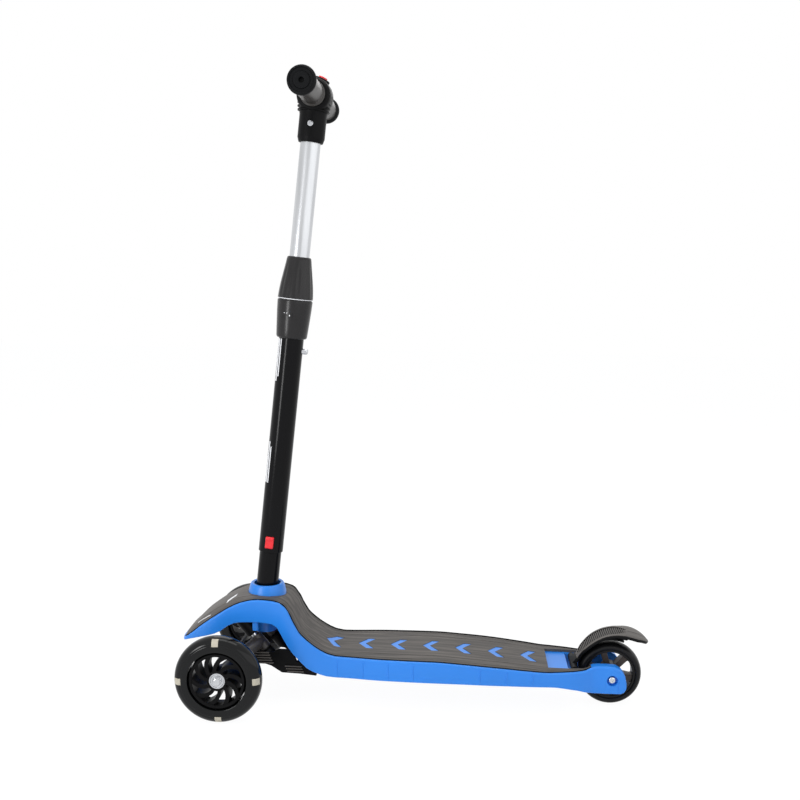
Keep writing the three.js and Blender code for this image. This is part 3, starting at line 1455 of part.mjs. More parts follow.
piece(stem, 'lower_post', lowerPost(), blackPaint);
piece(stem, 'post_bolt', postBolt(), steel);
piece(stem, 'post_nut', postNut(), steel);
piece(stem, 'outer_tube', outerTube(), blackPaint);
piece(stem, 'release_button', releaseButton(), red);
piece(stem, 'snap_pin', snapPin(), steel);
piece(stem, 'lower_collar', lowerCollar(), greyPlastic);
piece(stem, 'twist_collar', twistCollar(), greyPlastic);
piece(stem, 'inner_tube', innerTube(), silver);
piece(stem, 'tee_piece', teePiece(), blackPlastic);
piece(stem, 'head_button', headButton(), red);
piece(stem, 'tee_bolt', teeBolt(), steel);
piece(stem, 'tee_nut', teeNut(), steel);
for (const [name, side] of sides) {
  const at = (solid) => (side > 0 ? solid : mirrored(solid));
  piece(stem, `handlebar_${name}`, at(barTube()), silver);
  piece(stem, `grip_${name}`, at(gripPiece()), gripRubber);
  piece(stem, `end_plug_${name}`, at(endPlug()), blackPlastic);
}

// The middle of the scooter's length stands over the origin
scooter.updateMatrixWorld(true);
const bounds = new THREE.Box3().setFromObject(scooter, true);
chassis.position.x = -(bounds.min.x + bounds.max.x) / 2;
scooter.updateMatrixWorld(true);

export default scooter;
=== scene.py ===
"""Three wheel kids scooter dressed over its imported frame: blue deck, dark mat, leaning front wheels, T-bar."""

import json
import math

import bpy
from mathutils import Matrix, Vector


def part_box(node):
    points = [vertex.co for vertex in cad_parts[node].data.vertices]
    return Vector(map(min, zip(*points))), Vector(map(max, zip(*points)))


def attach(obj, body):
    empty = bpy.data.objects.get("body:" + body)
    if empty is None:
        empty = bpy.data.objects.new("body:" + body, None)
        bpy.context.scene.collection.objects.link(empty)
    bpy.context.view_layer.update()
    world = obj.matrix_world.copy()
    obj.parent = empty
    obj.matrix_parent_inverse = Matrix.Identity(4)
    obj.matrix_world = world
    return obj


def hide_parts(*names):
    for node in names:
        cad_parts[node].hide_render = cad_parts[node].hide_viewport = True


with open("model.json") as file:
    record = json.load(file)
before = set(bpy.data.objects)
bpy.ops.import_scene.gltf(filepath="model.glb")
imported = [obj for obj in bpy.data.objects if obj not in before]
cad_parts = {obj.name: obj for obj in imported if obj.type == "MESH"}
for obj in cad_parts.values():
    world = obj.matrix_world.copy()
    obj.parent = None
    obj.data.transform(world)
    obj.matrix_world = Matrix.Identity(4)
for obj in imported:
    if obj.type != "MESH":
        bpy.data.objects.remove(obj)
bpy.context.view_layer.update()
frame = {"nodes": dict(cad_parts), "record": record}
bpy.ops.object.select_all(action="DESELECT")

MM = 0.001

# Main sizes in millimetres, from the rear axle forwards and from the floor up
WHEEL_BASE = 540
HALF_TRACK = 116
FRONT_RADIUS = 60
REAR_RADIUS = 45
DECK_TOP = 72
REAR_DECK_TOP = 60.3
DECK_REAR = 54
FORK_TOP = 65.4
FORK_BOTTOM = 25.8
FORK_REACH = 19.6
RAIL_BOTTOM = 42.5
ARCH_TOP = 147
ARCH_UNDER = 115
NOSE_TIP = 612
NOSE_REACH = 72
SLOPE_FOOT = 372.6
NECK_RUN = 108
HALF_DECK = 64
HALF_NECK = 46
HALF_NOSE = 52
HALF_FORK = 36
FORK_INSIDE = 24
LIP = 3.6
SEAT_DEPTH = 3.2
PLATE = 3
WALL = 3.2
GAP = 0.3
RAKE = math.radians(5.6)
STEM_X = 497
KINGPIN = (500, 32, 82)
KINGPIN_LEAN = math.radians(40)

# Radii of the holes for the pins, bolts and screws
PIN_BORE = 4.3
POST_BORE = 3.3
SLIM_BORE = 2.8
SCREW_BORE = 2.3

# Camera fitted to the outlines in the photograph: yaw, pitch, roll, place and lens
CAMERA_TURN = (0.0638, 0.1219, 0.0140)
CAMERA_SPOT = (218.5, 1375.2, 600.0)
CAMERA_PIXELS = 984.39
PICTURE_SIDE = 800
SENSOR = 36

# White floor: its own tone, the glow that the camera sees and how much of it; the soft light all round
FLOOR_TONE = 0.9
FLOOR_GLOW = 1.06
FLOOR_GLOW_SHARE = 0.9
SKY_STRENGTH = 0.5

# Corners nearer than this are one
MERGE = 1e-6

# The drawing counts its lengths from the rear axle; the frame from the middle of the scooter
rear_low, rear_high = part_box("rear_tyre")
AXLE_X = (rear_low.x + rear_high.x) / 2 / MM


def at(x, y, z):
    return Vector(((x + AXLE_X) * MM, y * MM, z * MM))


def mix(a, b, share):
    return a + (b - a) * share


DRAWING = Matrix.Translation(at(0, 0, 0))
LOCAL = Matrix.Identity(4)
STEM = Matrix.Translation(at(STEM_X, 0, ARCH_TOP)) @ Matrix.Rotation(-RAKE, 4, "Y")
OUTWARDS = Matrix.Rotation(-math.pi / 2, 4, "X")
FRONT_WHEEL = Matrix.Translation(at(WHEEL_BASE, HALF_TRACK, FRONT_RADIUS)) @ OUTWARDS
REAR_WHEEL = Matrix.Translation(at(0, 0, REAR_RADIUS)) @ OUTWARDS
KINGPIN_PLACE = Matrix.Translation(at(*KINGPIN)) @ Matrix.Rotation(KINGPIN_LEAN, 4, "Y")
TO_THE_RIGHT = Matrix.Scale(-1, 4, (0, 1, 0))
KINGPIN_PLACES = (KINGPIN_PLACE, TO_THE_RIGHT @ KINGPIN_PLACE)


# Camera, floor and light
def set_camera():
    yaw, pitch, roll = CAMERA_TURN
    look = Vector((math.sin(yaw) * math.cos(pitch), -math.cos(yaw) * math.cos(pitch), -math.sin(pitch)))
    level = look.cross(Vector((0, 0, 1))).normalized()
    upright = level.cross(look)
    right = level * math.cos(roll) + upright * math.sin(roll)
    up = upright * math.cos(roll) - level * math.sin(roll)
    data = bpy.data.cameras.new("photo_camera")
    data.sensor_width = SENSOR
    data.lens = CAMERA_PIXELS * SENSOR / PICTURE_SIDE
    data.clip_start = 0.05
    camera = bpy.data.objects.new("photo_camera", data)
    bpy.context.scene.collection.objects.link(camera)
    turn = Matrix((right, up, -look)).transposed().to_4x4()
    camera.matrix_world = Matrix.Translation(at(*CAMERA_SPOT)) @ turn
    bpy.context.scene.camera = camera


def where_seen(tree):
    """One where the camera looks straight, in a mirror or through glass, and nought elsewhere."""
    path = tree.nodes.new("ShaderNodeLightPath")
    result = path.outputs["Is Camera Ray"]
    for ray in ("Is Glossy Ray", "Is Transmission Ray"):
        step = tree.nodes.new("ShaderNodeMath")
        step.operation = "MAXIMUM"
        tree.links.new(result, step.inputs[0])
        tree.links.new(path.outputs[ray], step.inputs[1])
        result = step.outputs[0]
    return result


def set_floor():
    bpy.ops.mesh.primitive_plane_add(size=14, location=(0, 0, -0.0004))
    floor = bpy.context.active_object
    floor.name = "studio_floor"
    bpy.ops.object.transform_apply(location=True)
    paint = bpy.data.materials.new("studio_white")
    paint.use_nodes = True
    nodes, links = paint.node_tree.nodes, paint.node_tree.links
    nodes.clear()
    out = nodes.new("ShaderNodeOutputMaterial")
    lit = nodes.new("ShaderNodeBsdfDiffuse")
    lit.inputs["Color"].default_value = (FLOOR_TONE, FLOOR_TONE, FLOOR_TONE, 1)
    glow = nodes.new("ShaderNodeEmission")
    glow.inputs["Color"].default_value = (1, 1, 1, 1)
    glow.inputs["Strength"].default_value = FLOOR_GLOW
    blend = nodes.new("ShaderNodeMixShader")
    share = nodes.new("ShaderNodeMath")
    share.operation = "MULTIPLY"
    share.inputs[1].default_value = FLOOR_GLOW_SHARE
    links.new(where_seen(paint.node_tree), share.inputs[0])
    links.new(share.outputs[0], blend.inputs[0])
    links.new(lit.outputs[0], blend.inputs[1])
    links.new(glow.outputs[0], blend.inputs[2])
    links.new(blend.outputs[0], out.inputs["Surface"])
    floor.data.materials.append(paint)


def set_world():
    world = bpy.data.worlds.new("studio")
    bpy.context.scene.world = world
    world.use_nodes = True
    nodes, links = world.node_tree.nodes, world.node_tree.links
    nodes.clear()
    out = nodes.new("ShaderNodeOutputWorld")
    soft = nodes.new("ShaderNodeBackground")
    soft.inputs["Color"].default_value = (0.95, 0.97, 1, 1)
    soft.inputs["Strength"].default_value = SKY_STRENGTH
    white = nodes.new("ShaderNodeBackground")
    white.inputs["Color"].default_value = (1, 1, 1, 1)
    blend = nodes.new("ShaderNodeMixShader")
    links.new(where_seen(world.node_tree), blend.inputs[0])
    links.new(soft.outputs[0], blend.inputs[1])
    links.new(white.outputs[0], blend.inputs[2])
    links.new(blend.outputs[0], out.inputs["Surface"])


def add_lamp(name, spot, aim, size, watts):
    data = bpy.data.lights.new(name, "AREA")
    data.shape = "RECTANGLE"
    data.size, data.size_y = size
    data.energy = watts
    lamp = bpy.data.objects.new(name, data)
    bpy.context.scene.collection.objects.link(lamp)
    lamp.location = spot
    lamp.rotation_euler = (Vector(aim) - Vector(spot)).to_track_quat("-Z", "Y").to_euler()
    return lamp


set_camera()
set_floor()
set_world()
bpy.context.scene.view_settings.view_transform = "Standard"
key_lamp = add_lamp("key_softbox", (1.0, 1.35, 1.25), (0.05, 0, 0.3), (1.1, 1.1), 10.5)
key_lamp.visible_glossy = False
add_lamp("strip_softbox", (1.0, 1.15, 0.42), (0.2, 0, 0.45), (0.26, 0.5), 5)
add_lamp("fill_softbox", (-1.4, 0.9, 0.85), (0, 0, 0.4), (3.0, 1.0), 7)
add_lamp("top_softbox", (0.0, 0.1, 2.0), (0, 0, 0), (1.4, 1.0), 12)
add_lamp("rim_softbox", (0.2, -1.7, 1.6), (0, 0, 0.4), (1.6, 1.0), 7)


# Shaping
def only(piece):
    bpy.ops.object.select_all(action="DESELECT")
    piece.select_set(True)
    bpy.context.view_layer.objects.active = piece


def started(name):
    piece = bpy.context.active_object
    piece.name = name
    piece.data.name = name
    return piece


def settled(piece):
    """Works the place, turn and size of the object into its mesh."""
    only(piece)
    bpy.ops.object.transform_apply(location=True, rotation=True, scale=True)
    return piece


def opened(piece):
    """Puts a piece in edit mode with all of it selected."""
    only(piece)
    bpy.ops.object.mode_set(mode="EDIT")
    bpy.ops.mesh.select_all(action="SELECT")


def closed(piece):
    bpy.ops.object.mode_set(mode="OBJECT")
    return piece


def tidy(piece):
    """Merges doubled corners and turns every face outwards."""
    opened(piece)
    bpy.ops.mesh.remove_doubles(threshold=MERGE)
    bpy.ops.mesh.normals_make_consistent(inside=False)
    return closed(piece)


def smooth(piece, degrees=32):
    only(piece)
    bpy.ops.object.shade_smooth_by_angle(angle=math.radians(degrees))
    return piece


def neat(piece, degrees=32):
    return smooth(tidy(piece), degrees)


def softened(piece, width, steps=3, degrees=32):
    """Rounds every edge sharper than the given angle."""
    only(piece)
    edge = piece.modifiers.new("rounding", "BEVEL")
    edge.width = width * MM
    edge.segments = steps
    edge.limit_method = "ANGLE"
    edge.angle_limit = math.radians(degrees)
    edge.harden_normals = False
    bpy.ops.object.modifier_apply(modifier=edge.name)
    return piece


def carved(piece, tool, operation="DIFFERENCE"):
    """Cuts a tool out of a piece, or joins it on, and throws the tool away."""
    only(piece)
    step = piece.modifiers.new("carving", "BOOLEAN")
    step.operation = operation
    step.solver = "MANIFOLD"
    step.object = tool
    bpy.ops.object.modifier_apply(modifier=step.name)
    bpy.data.objects.remove(tool)
    return piece


def joined(name, pieces):
    """Several loose parts of one set kept as one object."""
    bpy.ops.object.select_all(action="DESELECT")
    for piece in pieces:
        piece.select_set(True)
    bpy.context.view_layer.objects.active = pieces[0]
    bpy.ops.object.join()
    return started(name)


def flipped(piece):
    opened(piece)
    bpy.ops.mesh.flip_normals()
    return closed(piece)


def copied(piece, name, matrix=LOCAL):
    twin = piece.copy()
    twin.data = piece.data.copy()
    twin.name = twin.data.name = name
    bpy.context.scene.collection.objects.link(twin)
    return moved(twin, matrix)


def moved(piece, matrix):
    piece.data.transform(matrix)
    return flipped(piece) if matrix.determinant() < 0 else piece


def eased(points, cuts=3):
    """A row of points with more of them between, on a smooth curve through all."""
    row = []
    for i in range(len(points) - 1):
        a, b = Vector(points[max(i - 1, 0)]), Vector(points[i])
        c, d = Vector(points[i + 1]), Vector(points[min(i + 2, len(points) - 1)])
        for k in range(cuts):
            t = k / cuts
            lift = (c - a) * t + (2 * a - 5 * b + 4 * c - d) * t * t + (3 * b - 3 * c + d - a) * t ** 3
            row.append(tuple(b + lift / 2))
    return row + [tuple(points[-1])]


def turned(name, profile, steps=96, place=LOCAL):
    """A lathe-turned piece: a ring of [radius, height] corners spun round the Z axis."""
    bpy.ops.mesh.primitive_circle_add(vertices=len(profile), radius=1, fill_type="NOTHING")
    piece = started(name)
    for corner, (radius, height) in zip(piece.data.vertices, profile):
        corner.co = (radius * MM, 0, height * MM)
    if profile[0][0] == 0 and profile[-1][0] == 0:
        last = len(profile) - 1
        for edge in piece.data.edges:
            edge.select = set(edge.vertices) == {0, last}
        for corner in piece.data.vertices:
            corner.select = False
        bpy.ops.object.mode_set(mode="EDIT")
        bpy.ops.mesh.select_mode(type="EDGE")
        bpy.ops.mesh.delete(type="EDGE_FACE")
        bpy.ops.object.mode_set(mode="OBJECT")
    only(piece)
    bpy.ops.object.mode_set(mode="EDIT")
    bpy.ops.mesh.select_mode(type="VERT")
    bpy.ops.mesh.select_all(action="SELECT")
    bpy.ops.mesh.spin(steps=steps, angle=2 * math.pi, center=(0, 0, 0), axis=(0, 0, 1))
    return smooth(moved(tidy(closed(piece)), place))


def rod(name, radius, start, end, corners=32, round_by=0.0):
    """A round bar between two points of the frame."""
    middle = (start + end) / 2
    run = end - start
    bpy.ops.mesh.primitive_cylinder_add(vertices=corners, radius=radius * MM, depth=run.length)
    piece = started(name)
    piece.matrix_world = Matrix.Translation(middle) @ run.to_track_quat("Z", "Y").to_matrix().to_4x4()
    settled(piece)
    if round_by:
        softened(piece, round_by)
    return smooth(piece)


def along_z(name, radius, low, high, place, corners=32):
    """A round bar between two heights of a local frame."""
    return rod(name, radius, place @ Vector((0, 0, low * MM)), place @ Vector((0, 0, high * MM)), corners)


def cross_rod(name, radius, x, z, half, corners=32, round_by=0.0):
    """A round bar across the scooter, as far to the left as to the right."""
    return rod(name, radius, at(x, -half, z), at(x, half, z), corners, round_by)


def standing_rod(name, radius, x, y, low, high, corners=32):
    return rod(name, radius, at(x, y, low), at(x, y, high), corners)


def block(name, low, high, round_by=0.0, place=DRAWING):
    """A bar between two corners, in millimetres of the drawing or of a local frame."""
    bpy.ops.mesh.primitive_cube_add(size=1)
    piece = started(name)
    a, b = Vector(low) * MM, Vector(high) * MM
    piece.scale = b - a
    piece.location = (a + b) / 2
    settled(piece)
    if round_by:
        softened(piece, round_by)
    return smooth(moved(piece, place))


def outline_plate(name, outline, low, high, plane="XZ", round_by=0.0, place=DRAWING):
    """A flat outline drawn out to a thickness: across the scooter for XZ, upwards for XY."""
    bpy.ops.mesh.primitive_circle_add(vertices=len(outline), radius=1, fill_type="NGON")
    piece = started(name)
    for corner, (a, b) in zip(piece.data.vertices, outline):
        corner.co = Vector((a, low, b) if plane == "XZ" else (a, b, low)) * MM
    opened(piece)
    run = (high - low) * MM
    move = (0, run, 0) if plane == "XZ" else (0, 0, run)
    bpy.ops.mesh.extrude_region_move(TRANSFORM_OT_translate={"value": move})
    bpy.ops.mesh.select_all(action="SELECT")
    bpy.ops.mesh.normals_make_consistent(inside=False)
    bpy.ops.object.mode_set(mode="OBJECT")
    if round_by:
        softened(piece, round_by)
    return smooth(moved(piece, place))


def drawn_out(name, rings):
    """A long tube of section rings, capped at both ends: a cylinder cut across and drawn to shape."""
    corners, count = len(rings[0]), len(rings)
    bpy.ops.mesh.primitive_cylinder_add(vertices=corners, radius=1, depth=2, end_fill_type="NGON")
    piece = started(name)
    for edge in piece.data.edges:
        a, b = (piece.data.vertices[i].co for i in edge.vertices)
        edge.select = abs(a.z - b.z) > 1
    for corner in piece.data.vertices:
        corner.select = False
    for face in piece.data.polygons:
        face.select = False
    only(piece)
    bpy.ops.object.mode_set(mode="EDIT")
    bpy.ops.mesh.select_mode(type="EDGE")
    bpy.ops.mesh.subdivide(number_cuts=count - 2)
    bpy.ops.object.mode_set(mode="OBJECT")
    for corner in piece.data.vertices:
        ring = round((corner.co.z + 1) / 2 * (count - 1))
        turn = math.atan2(corner.co.x, corner.co.y) / (2 * math.pi) * corners
        corner.co = rings[ring][round(turn) % corners]
    return tidy(piece)


# Finishes
def linear(r, g, b):
    """A colour of the picture, 0 to 255, as the light that a shader takes."""
    return [((c / 255 + 0.055) / 1.055) ** 2.4 if c > 10 else c / 3294 for c in (r, g, b)]


def own_place(tree, stretch):
    """The piece's own coordinates, scaled along each axis."""
    place = tree.nodes.new("ShaderNodeTexCoord")
    drawn = tree.nodes.new("ShaderNodeMapping")
    drawn.inputs["Scale"].default_value = stretch
    tree.links.new(place.outputs["Object"], drawn.inputs["Vector"])
    return drawn.outputs["Vector"]


def noise(tree, place, scale, detail):
    pattern = tree.nodes.new("ShaderNodeTexNoise")
    pattern.inputs["Scale"].default_value = scale
    pattern.inputs["Detail"].default_value = detail
    tree.links.new(place, pattern.inputs["Vector"])
    return pattern.outputs["Fac"]


def ranged(tree, source, **limits):
    """A pattern's values brought between other limits."""
    reach = tree.nodes.new("ShaderNodeMapRange")
    for name, value in limits.items():
        reach.inputs[name.replace("_", " ").title()].default_value = value
    tree.links.new(source, reach.inputs["Value"])
    return reach.outputs["Result"]


def finish(name, colour, rough, metallic=0.0, mottle=(18, 0.06), grain=(900, 0.12, 0.00008), spread=0.08,
           coat=0.0, stretch=(1, 1, 1), shine=0.4):
    """A surface with uneven tone, uneven gloss and a fine moulded or brushed grain."""
    paint = bpy.data.materials.new(name)
    paint.use_nodes = True
    tree = paint.node_tree
    shader = tree.nodes["Principled BSDF"]
    for socket, value in (("Metallic", metallic), ("Specular IOR Level", shine), ("Coat Weight", coat),
                          ("Coat Roughness", 0.12)):
        shader.inputs[socket].default_value = value
    place = own_place(tree, stretch)

    patch_size, contrast = mottle
    patches = noise(tree, place, patch_size, 5)
    tones = tree.nodes.new("ShaderNodeValToRGB")
    for end, position, tone in ((0, 0.3, 1 - contrast), (1, 0.7, 1 + contrast)):
        tones.color_ramp.elements[end].position = position
        tones.color_ramp.elements[end].color = [min(1, c * tone) for c in linear(*colour)] + [1]
    tree.links.new(patches, tones.inputs["Fac"])
    tree.links.new(tones.outputs["Color"], shader.inputs["Base Color"])
    gloss = ranged(tree, patches, to_min=max(0.02, rough - spread), to_max=min(1, rough + spread))
    tree.links.new(gloss, shader.inputs["Roughness"])

    grain_size, strength, depth = grain
    relief = tree.nodes.new("ShaderNodeBump")
    relief.inputs["Strength"].default_value = strength
    relief.inputs["Distance"].default_value = depth
    tree.links.new(noise(tree, place, grain_size, 3), relief.inputs["Height"])
    tree.links.new(relief.outputs["Normal"], shader.inputs["Normal"])
    return paint


def streaked(paint, colour, share):
    """Long faint streaks of wear laid over a finish, along the scooter."""
    tree = paint.node_tree
    shader = tree.nodes["Principled BSDF"]
    tones = shader.inputs["Base Color"].links[0].from_socket
    streaks = noise(tree, own_place(tree, (14, 190, 60)), 1, 4)
    blend = tree.nodes.new("ShaderNodeMix")
    blend.data_type = "RGBA"
    blend.inputs["B"].default_value = linear(*colour) + [1]
    tree.links.new(ranged(tree, streaks, from_min=0.42, from_max=0.72, to_max=share), blend.inputs["Factor"])
    tree.links.new(tones, blend.inputs["A"])
    tree.links.new(blend.outputs["Result"], shader.inputs["Base Color"])
    return paint


blue_moulding = finish("blue_moulding", (35, 129, 226), 0.36, mottle=(9, 0.05), grain=(1400, 0.10, 0.00006),
                       shine=0.5)
mat_rubber = streaked(finish("mat_rubber", (76, 73, 71), 0.72, mottle=(30, 0.10),
                             grain=(1100, 0.55, 0.00016)), (112, 107, 102), 0.7)
cover_plastic = streaked(finish("cover_plastic", (82, 78, 75), 0.48, mottle=(14, 0.07),
                                grain=(1300, 0.3, 0.0001), shine=0.25), (108, 103, 98), 0.5)
black_nylon = finish("black_nylon", (12, 12, 13), 0.42, mottle=(20, 0.14), grain=(1200, 0.35, 0.0001), shine=0.09)
grey_nylon = finish("grey_nylon", (52, 49, 48), 0.34, mottle=(20, 0.10), grain=(1200, 0.3, 0.0001), shine=0.35)
collar_grey = finish("collar_grey", (32, 31, 32), 0.26, mottle=(20, 0.08), grain=(1200, 0.25, 0.0001), shine=0.28)
gloss_black = finish("gloss_black", (10, 10, 12), 0.16, mottle=(10, 0.10), grain=(500, 0.03, 0.00003), shine=0.13,
                     spread=0.04)
# The bright tubes' tone patches are stretched into strong bands along the tube: partly the drawn tube's own uneven
# tone, partly painted reflection bands.
bright_tube = finish("bright_tube", (202, 204, 207), 0.32, metallic=1.0, mottle=(7, 0.16),
                     grain=(260, 0.06, 0.00003), stretch=(9, 9, 0.2), spread=0.05)
zinc_steel = finish("zinc_steel", (200, 202, 206), 0.22, metallic=1.0, mottle=(60, 0.07),
                    grain=(900, 0.12, 0.00004))
lamp_beige = finish("lamp_beige", (182, 176, 160), 0.45, mottle=(60, 0.05), grain=(900, 0.1, 0.00005))
red_press = finish("red_press", (228, 36, 46), 0.3, mottle=(20, 0.04), grain=(900, 0.1, 0.00005), coat=0.2)
grip_foam = finish("grip_foam", (57, 54, 52), 0.36, mottle=(70, 0.3), grain=(800, 0.5, 0.00014), shine=0.35)
flange_black = finish("flange_black", (13, 14, 16), 0.5, mottle=(40, 0.12), grain=(900, 0.3, 0.0001), shine=0.12)
tread_black = finish("tread_black", (16, 16, 18), 0.4, mottle=(16, 0.12), grain=(900, 0.25, 0.0001), shine=0.2)
spoke_grey = finish("spoke_grey", (60, 53, 49), 0.4, mottle=(24, 0.10), grain=(1100, 0.3, 0.0001), shine=0.25)
smoke_cast = finish("smoke_cast", (15, 16, 17), 0.1, mottle=(26, 0.16), grain=(420, 0.05, 0.00005), shine=0.22,
                    spread=0.04)
print_white = finish("print_white", (236, 237, 240), 0.4, mottle=(40, 0.02), grain=(900, 0.05, 0.00003))


def dressed(piece, paint, slot, body, *nodes):
    piece.data.materials.clear()
    piece.data.materials.append(paint)
    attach(piece, body)
    if nodes:
        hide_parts(*nodes)
    return piece


def both_sides(piece, paint, slot, body, node, right_place=TO_THE_RIGHT):
    """A left piece and its copy on the right, each standing for its own side's node."""
    right = copied(piece, piece.name.replace("_left", "_right"), right_place)
    for side, item in (("left", piece), ("right", right)):
        nodes = [node.format(side)] if node else []
        dressed(item, paint, slot, body.format(side), *nodes)


# Lines of the deck: top, underside and half width
NOSE_RUN = NOSE_TIP - SLOPE_FOOT
NOSE_TOP_SHARES = [
    (0.06, 0.003), (0.12, 0.04), (0.178, 0.128), (0.238, 0.26), (0.289, 0.41), (0.324, 0.593), (0.349, 0.762),
    (0.375, 0.883), (0.41, 0.956), (0.477, 0.992), (0.544, 1), (0.632, 0.953), (0.703, 0.855), (0.778, 0.707),
    (0.866, 0.508), (0.962, 0.26), (1, 0.186)]
NOSE_UNDER_SHARES = [
    (0.05, -0.003), (0.117, 0.005), (0.178, 0.052), (0.238, 0.139), (0.289, 0.295), (0.339, 0.462), (0.385, 0.702),
    (0.42, 0.895), (0.435, 0.959), (0.49, 0.985), (0.546, 0.999), (0.634, 1), (0.685, 0.978), (0.724, 0.901),
    (0.774, 0.79), (0.964, 0.607), (1, 0.538)]
FORK_TOP_SHARES = [(-1, 0.42), (-0.94, 0.6), (-0.77, 0.78), (-0.4, 0.95), (0, 1)]
STEP_TOP_SHARES = [(0.44, 1), (0.52, 0.8), (0.62, 0.3), (0.74, 0.06), (1, 0)]
RISE_SHARES = [(0.165, 0), (0.22, 0.2), (0.3, 0.54), (0.39, 0.83), (0.47, 1), (0.69, 1)]
FORK_UNDER_SHARES = [(-1, 0.2), (-0.84, 0.05), (-0.56, 0)]
REAR_UNDER_SHARES = [(0.032, 0), (0.057, 0.1), (0.095, 0.48), (0.165, 0.87), (0.4, 1), (0.69, 1)]
REAR_PLAN_SHARES = [(0.037, 0), (0.056, 0.11), (0.074, 0.29), (0.111, 0.53), (0.185, 0.79), (0.26, 0.92), (0.35, 1),
                    (0.48, 1)]
NECK_PLAN_SHARES = [(-0.485, 0.91), (0, 0.62), (0.25, 0.5), (0.62, 0.3), (0.81, 0.14), (1, 0), (1.16, 0)]
NOSE_PLAN_SHARES = [(1.14, 0.5), (0.72, 1), (0.33, 0.8), (0.1, 0)]


def line_through(points):
    """A smooth line through [x, value] points that never overshoots between them."""
    slopes = [(b[1] - a[1]) / (b[0] - a[0]) for a, b in zip(points, points[1:])]
    tangents = [slopes[0]]
    for a, b in zip(slopes, slopes[1:]):
        tangents.append(0 if a * b <= 0 else 2 / (1 / a + 1 / b))
    tangents.append(slopes[-1])

    def value(x):
        i = 0
        while i < len(points) - 2 and points[i + 1][0] <= x:
            i += 1
        width = points[i + 1][0] - points[i][0]
        t = (x - points[i][0]) / width
        a = (2 * t ** 3 - 3 * t ** 2 + 1) * points[i][1] + (t ** 3 - 2 * t ** 2 + t) * width * tangents[i]
        b = (3 * t ** 2 - 2 * t ** 3) * points[i + 1][1] + (t ** 3 - t ** 2) * width * tangents[i + 1]
        return a + b
    return value


def scaled(shares, start, run, low, high):
    return [(start + x * run, mix(low, high, value)) for x, value in shares]


top_line = line_through(
    scaled(FORK_TOP_SHARES, 0, FORK_REACH, FORK_BOTTOM, FORK_TOP)
    + scaled(STEP_TOP_SHARES, 0, DECK_REAR, REAR_DECK_TOP, FORK_TOP)
    + scaled(RISE_SHARES, 0, WHEEL_BASE, REAR_DECK_TOP, DECK_TOP)
    + scaled(NOSE_TOP_SHARES, SLOPE_FOOT, NOSE_RUN, DECK_TOP, ARCH_TOP))
bottom_line = line_through(
    scaled(FORK_UNDER_SHARES, 0, FORK_REACH, FORK_BOTTOM, FORK_TOP)
    + scaled(REAR_UNDER_SHARES, 0, WHEEL_BASE, FORK_BOTTOM, RAIL_BOTTOM)
    + scaled(NOSE_UNDER_SHARES, SLOPE_FOOT, NOSE_RUN, RAIL_BOTTOM, ARCH_UNDER))
half_line = line_through(
    [(-FORK_REACH, HALF_FORK)]
    + scaled(REAR_PLAN_SHARES, 0, WHEEL_BASE, HALF_FORK, HALF_DECK)
    + scaled(NECK_PLAN_SHARES, SLOPE_FOOT, NECK_RUN, HALF_NECK, HALF_DECK)
    + scaled(NOSE_PLAN_SHARES, NOSE_TIP, -NOSE_REACH, HALF_NECK, HALF_NOSE)
    + [(NOSE_TIP - 0.035 * NOSE_REACH, 0.83 * HALF_NECK), (NOSE_TIP, 0.58 * HALF_NECK)])


def steepness(x):
    reach = GAP
    before, after = max(x - reach, -FORK_REACH), min(x + reach, NOSE_TIP)
    return math.hypot(1, (top_line(after) - top_line(before)) / (after - before))


def seat_at(x):
    return top_line(x) - SEAT_DEPTH * steepness(x)


def ceiling_at(x):
    return seat_at(x) - PLATE * steepness(x)


FORK_MARKS = [-19.6, -19.3, -18.7, -17.8, -16.4, -14.5, -12, -9, -5.5, -2]
NOSE_MARKS = [602, 604.5, 606.5, 608, 609.2, 610.2, 611, 611.6, 612]
EVEN_STEP = 4.0
EVEN_MARKS = 149


def stations(start, end):
    """Places along the deck for its section rings, closer together at its two rounded ends."""
    even = [2 + i * EVEN_STEP for i in range(EVEN_MARKS)]
    return [start] + [x for x in FORK_MARKS + even + NOSE_MARKS if start + 0.5 < x < end - 0.5] + [end]


def sections(start, end, section):
    return [[at(x, y, z) for y, z in section(x)] for x in stations(start, end)]


def corner_arc(y, z, radius, begin, count=5):
    """Points of a quarter round about a corner's centre, from the given quarter on."""
    turns = [math.pi / 2 * (begin + i / (count - 1)) for i in range(count)]
    return [(y + radius * math.cos(a), z + radius * math.sin(a)) for a in turns]


def mirrored(right):
    """A whole section from its right half."""
    return right + [(-y, z) for y, z in reversed(right)]


def rail_section(x):
    half, top, bottom = half_line(x), top_line(x), bottom_line(x)
    high = min(mix(3.4, 2.4, min(max((x - 30) / 30, 0), 1)), (top - bottom) / 3)
    low = min(1.4, (top - bottom) / 3)
    return mirrored(corner_arc(half - low, bottom + low, low, 3) + corner_arc(half - high, top - high, high, 0))


def box_section(half, low, high):
    return [(-half, low), (half, low), (half, high), (-half, high)]


MAT_CROWN = 1.15
NOSE_CROWN = 6.4
INLAY_GAP = 1.5
MAT_REAR = 30
MAT_FRONT = 475.2
nose_crown_line = line_through([(0, 0.17), (0.16, 0.2), (0.3, 0.42), (0.47, 0.82), (0.66, 1), (0.8, 0.95),
                                (0.92, 0.6), (1, 0.3)])


def crown_at(x):
    if x < MAT_FRONT:
        return MAT_CROWN
    return NOSE_CROWN * nose_crown_line((x - MAT_FRONT) / (NOSE_TIP - MAT_FRONT))


def inlay_height(x, y):
    """Height of the mat or the nose plate, which stand a little crowned in their seat."""
    share = min(abs(y) / (half_line(x) - LIP - INLAY_GAP), 1)
    return top_line(x) + 0.12 + crown_at(x) * steepness(x) * (1 - share ** 4)


